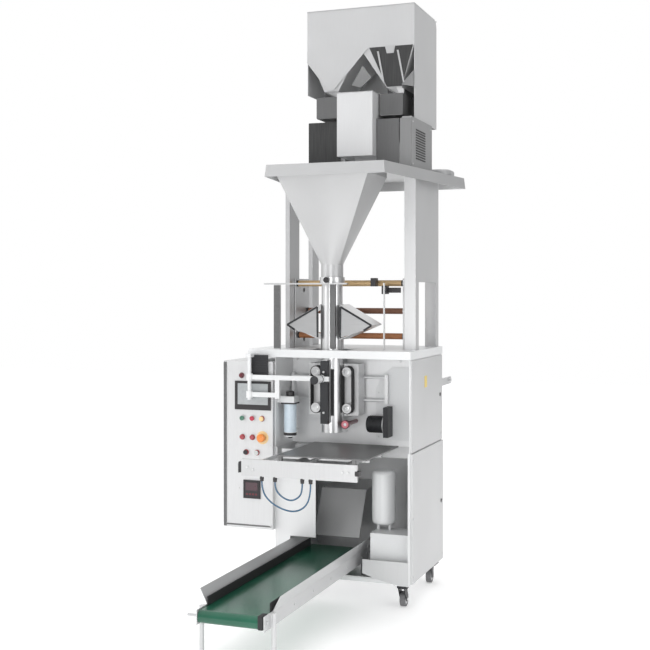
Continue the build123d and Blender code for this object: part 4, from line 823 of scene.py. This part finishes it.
def floor():
    """Plain pale floor, with a faint glow that keeps it white."""
    mesh = bmesh.new()
    bmesh.ops.create_grid(mesh, x_segments=8, y_segments=8, size=FLOOR_REACH)
    data = bpy.data.meshes.new("floor")
    mesh.to_mesh(data)
    mesh.free()
    piece = bpy.data.objects.new("floor", data)
    bpy.context.scene.collection.objects.link(piece)
    paint = surface("floor_paint", (0.93, 0.93, 0.93), 0.9, grain_scale=30, contrast=0.01, cloud=0.01)
    sockets = paint.node_tree.nodes["Principled BSDF"].inputs
    sockets["Emission Color"].default_value = (1, 1, 1, 1)
    sockets["Emission Strength"].default_value = FLOOR_GLOW
    sockets["Specular IOR Level"].default_value = 0.1
    data.materials.append(paint)


def light(name, place, target, size, power):
    """Soft rectangular lamp, turned to its target."""
    data = bpy.data.lights.new(name, "AREA")
    data.shape, data.size, data.size_y, data.energy = "RECTANGLE", size[0], size[1], power
    lamp = bpy.data.objects.new(name, data)
    lamp.location = place
    lamp.rotation_euler = (Vector(target) - Vector(place)).to_track_quat("-Z", "Y").to_euler()
    bpy.context.scene.collection.objects.link(lamp)


def sky():
    """White studio whose back right and front are darker in what the steel reflects."""
    world = bpy.data.worlds.new("studio")
    bpy.context.scene.world = world
    world.use_nodes = True
    tree = world.node_tree
    background = tree.nodes["Background"]
    place = tree.nodes.new("ShaderNodeTexCoord")
    shades = []
    for toward, start, end, dark in SHADED:
        compare = tree.nodes.new("ShaderNodeVectorMath")
        compare.operation = "DOT_PRODUCT"
        compare.inputs[1].default_value = toward
        tree.links.new(place.outputs["Generated"], compare.inputs[0])
        ramp = tree.nodes.new("ShaderNodeValToRGB")
        ramp.color_ramp.elements[0].position, ramp.color_ramp.elements[1].position = start, end
        ramp.color_ramp.elements[0].color = (1, 1, 1, 1)
        ramp.color_ramp.elements[1].color = (dark, dark * 1.01, dark * 1.03, 1)
        tree.links.new(compare.outputs["Value"], ramp.inputs["Fac"])
        shades.append(ramp)
    both = tree.nodes.new("ShaderNodeMix")
    both.data_type, both.blend_type = "RGBA", "MULTIPLY"
    both.inputs[0].default_value = 1.0
    tree.links.new(shades[0].outputs["Color"], both.inputs[6])
    tree.links.new(shades[1].outputs["Color"], both.inputs[7])
    seen = tree.nodes.new("ShaderNodeLightPath")
    choose = tree.nodes.new("ShaderNodeMix")
    choose.data_type = "RGBA"
    choose.inputs[7].default_value = (1, 1, 1, 1)
    tree.links.new(seen.outputs["Is Camera Ray"], choose.inputs[0])
    tree.links.new(both.outputs[2], choose.inputs[6])
    tree.links.new(choose.outputs[2], background.inputs["Color"])
    background.inputs["Strength"].default_value = 1.0


floor()
sky()
light("key", (-5.2, -3.4, 3.6), (0, 0, 1.5), (3.0, 4.0), 105)
light("fill", (4.6, -2.4, 1.2), (0.3, 0, 0.9), (2.5, 2.0), 34)
light("front", (0.4, -6.6, 1.3), (0, 0, 1.1), (2.0, 2.0), 95)
light("top", (0.2, -0.5, 5.6), (0, 0, 2.0), (3.0, 3.0), 50)


bpy.context.view_layer.update()
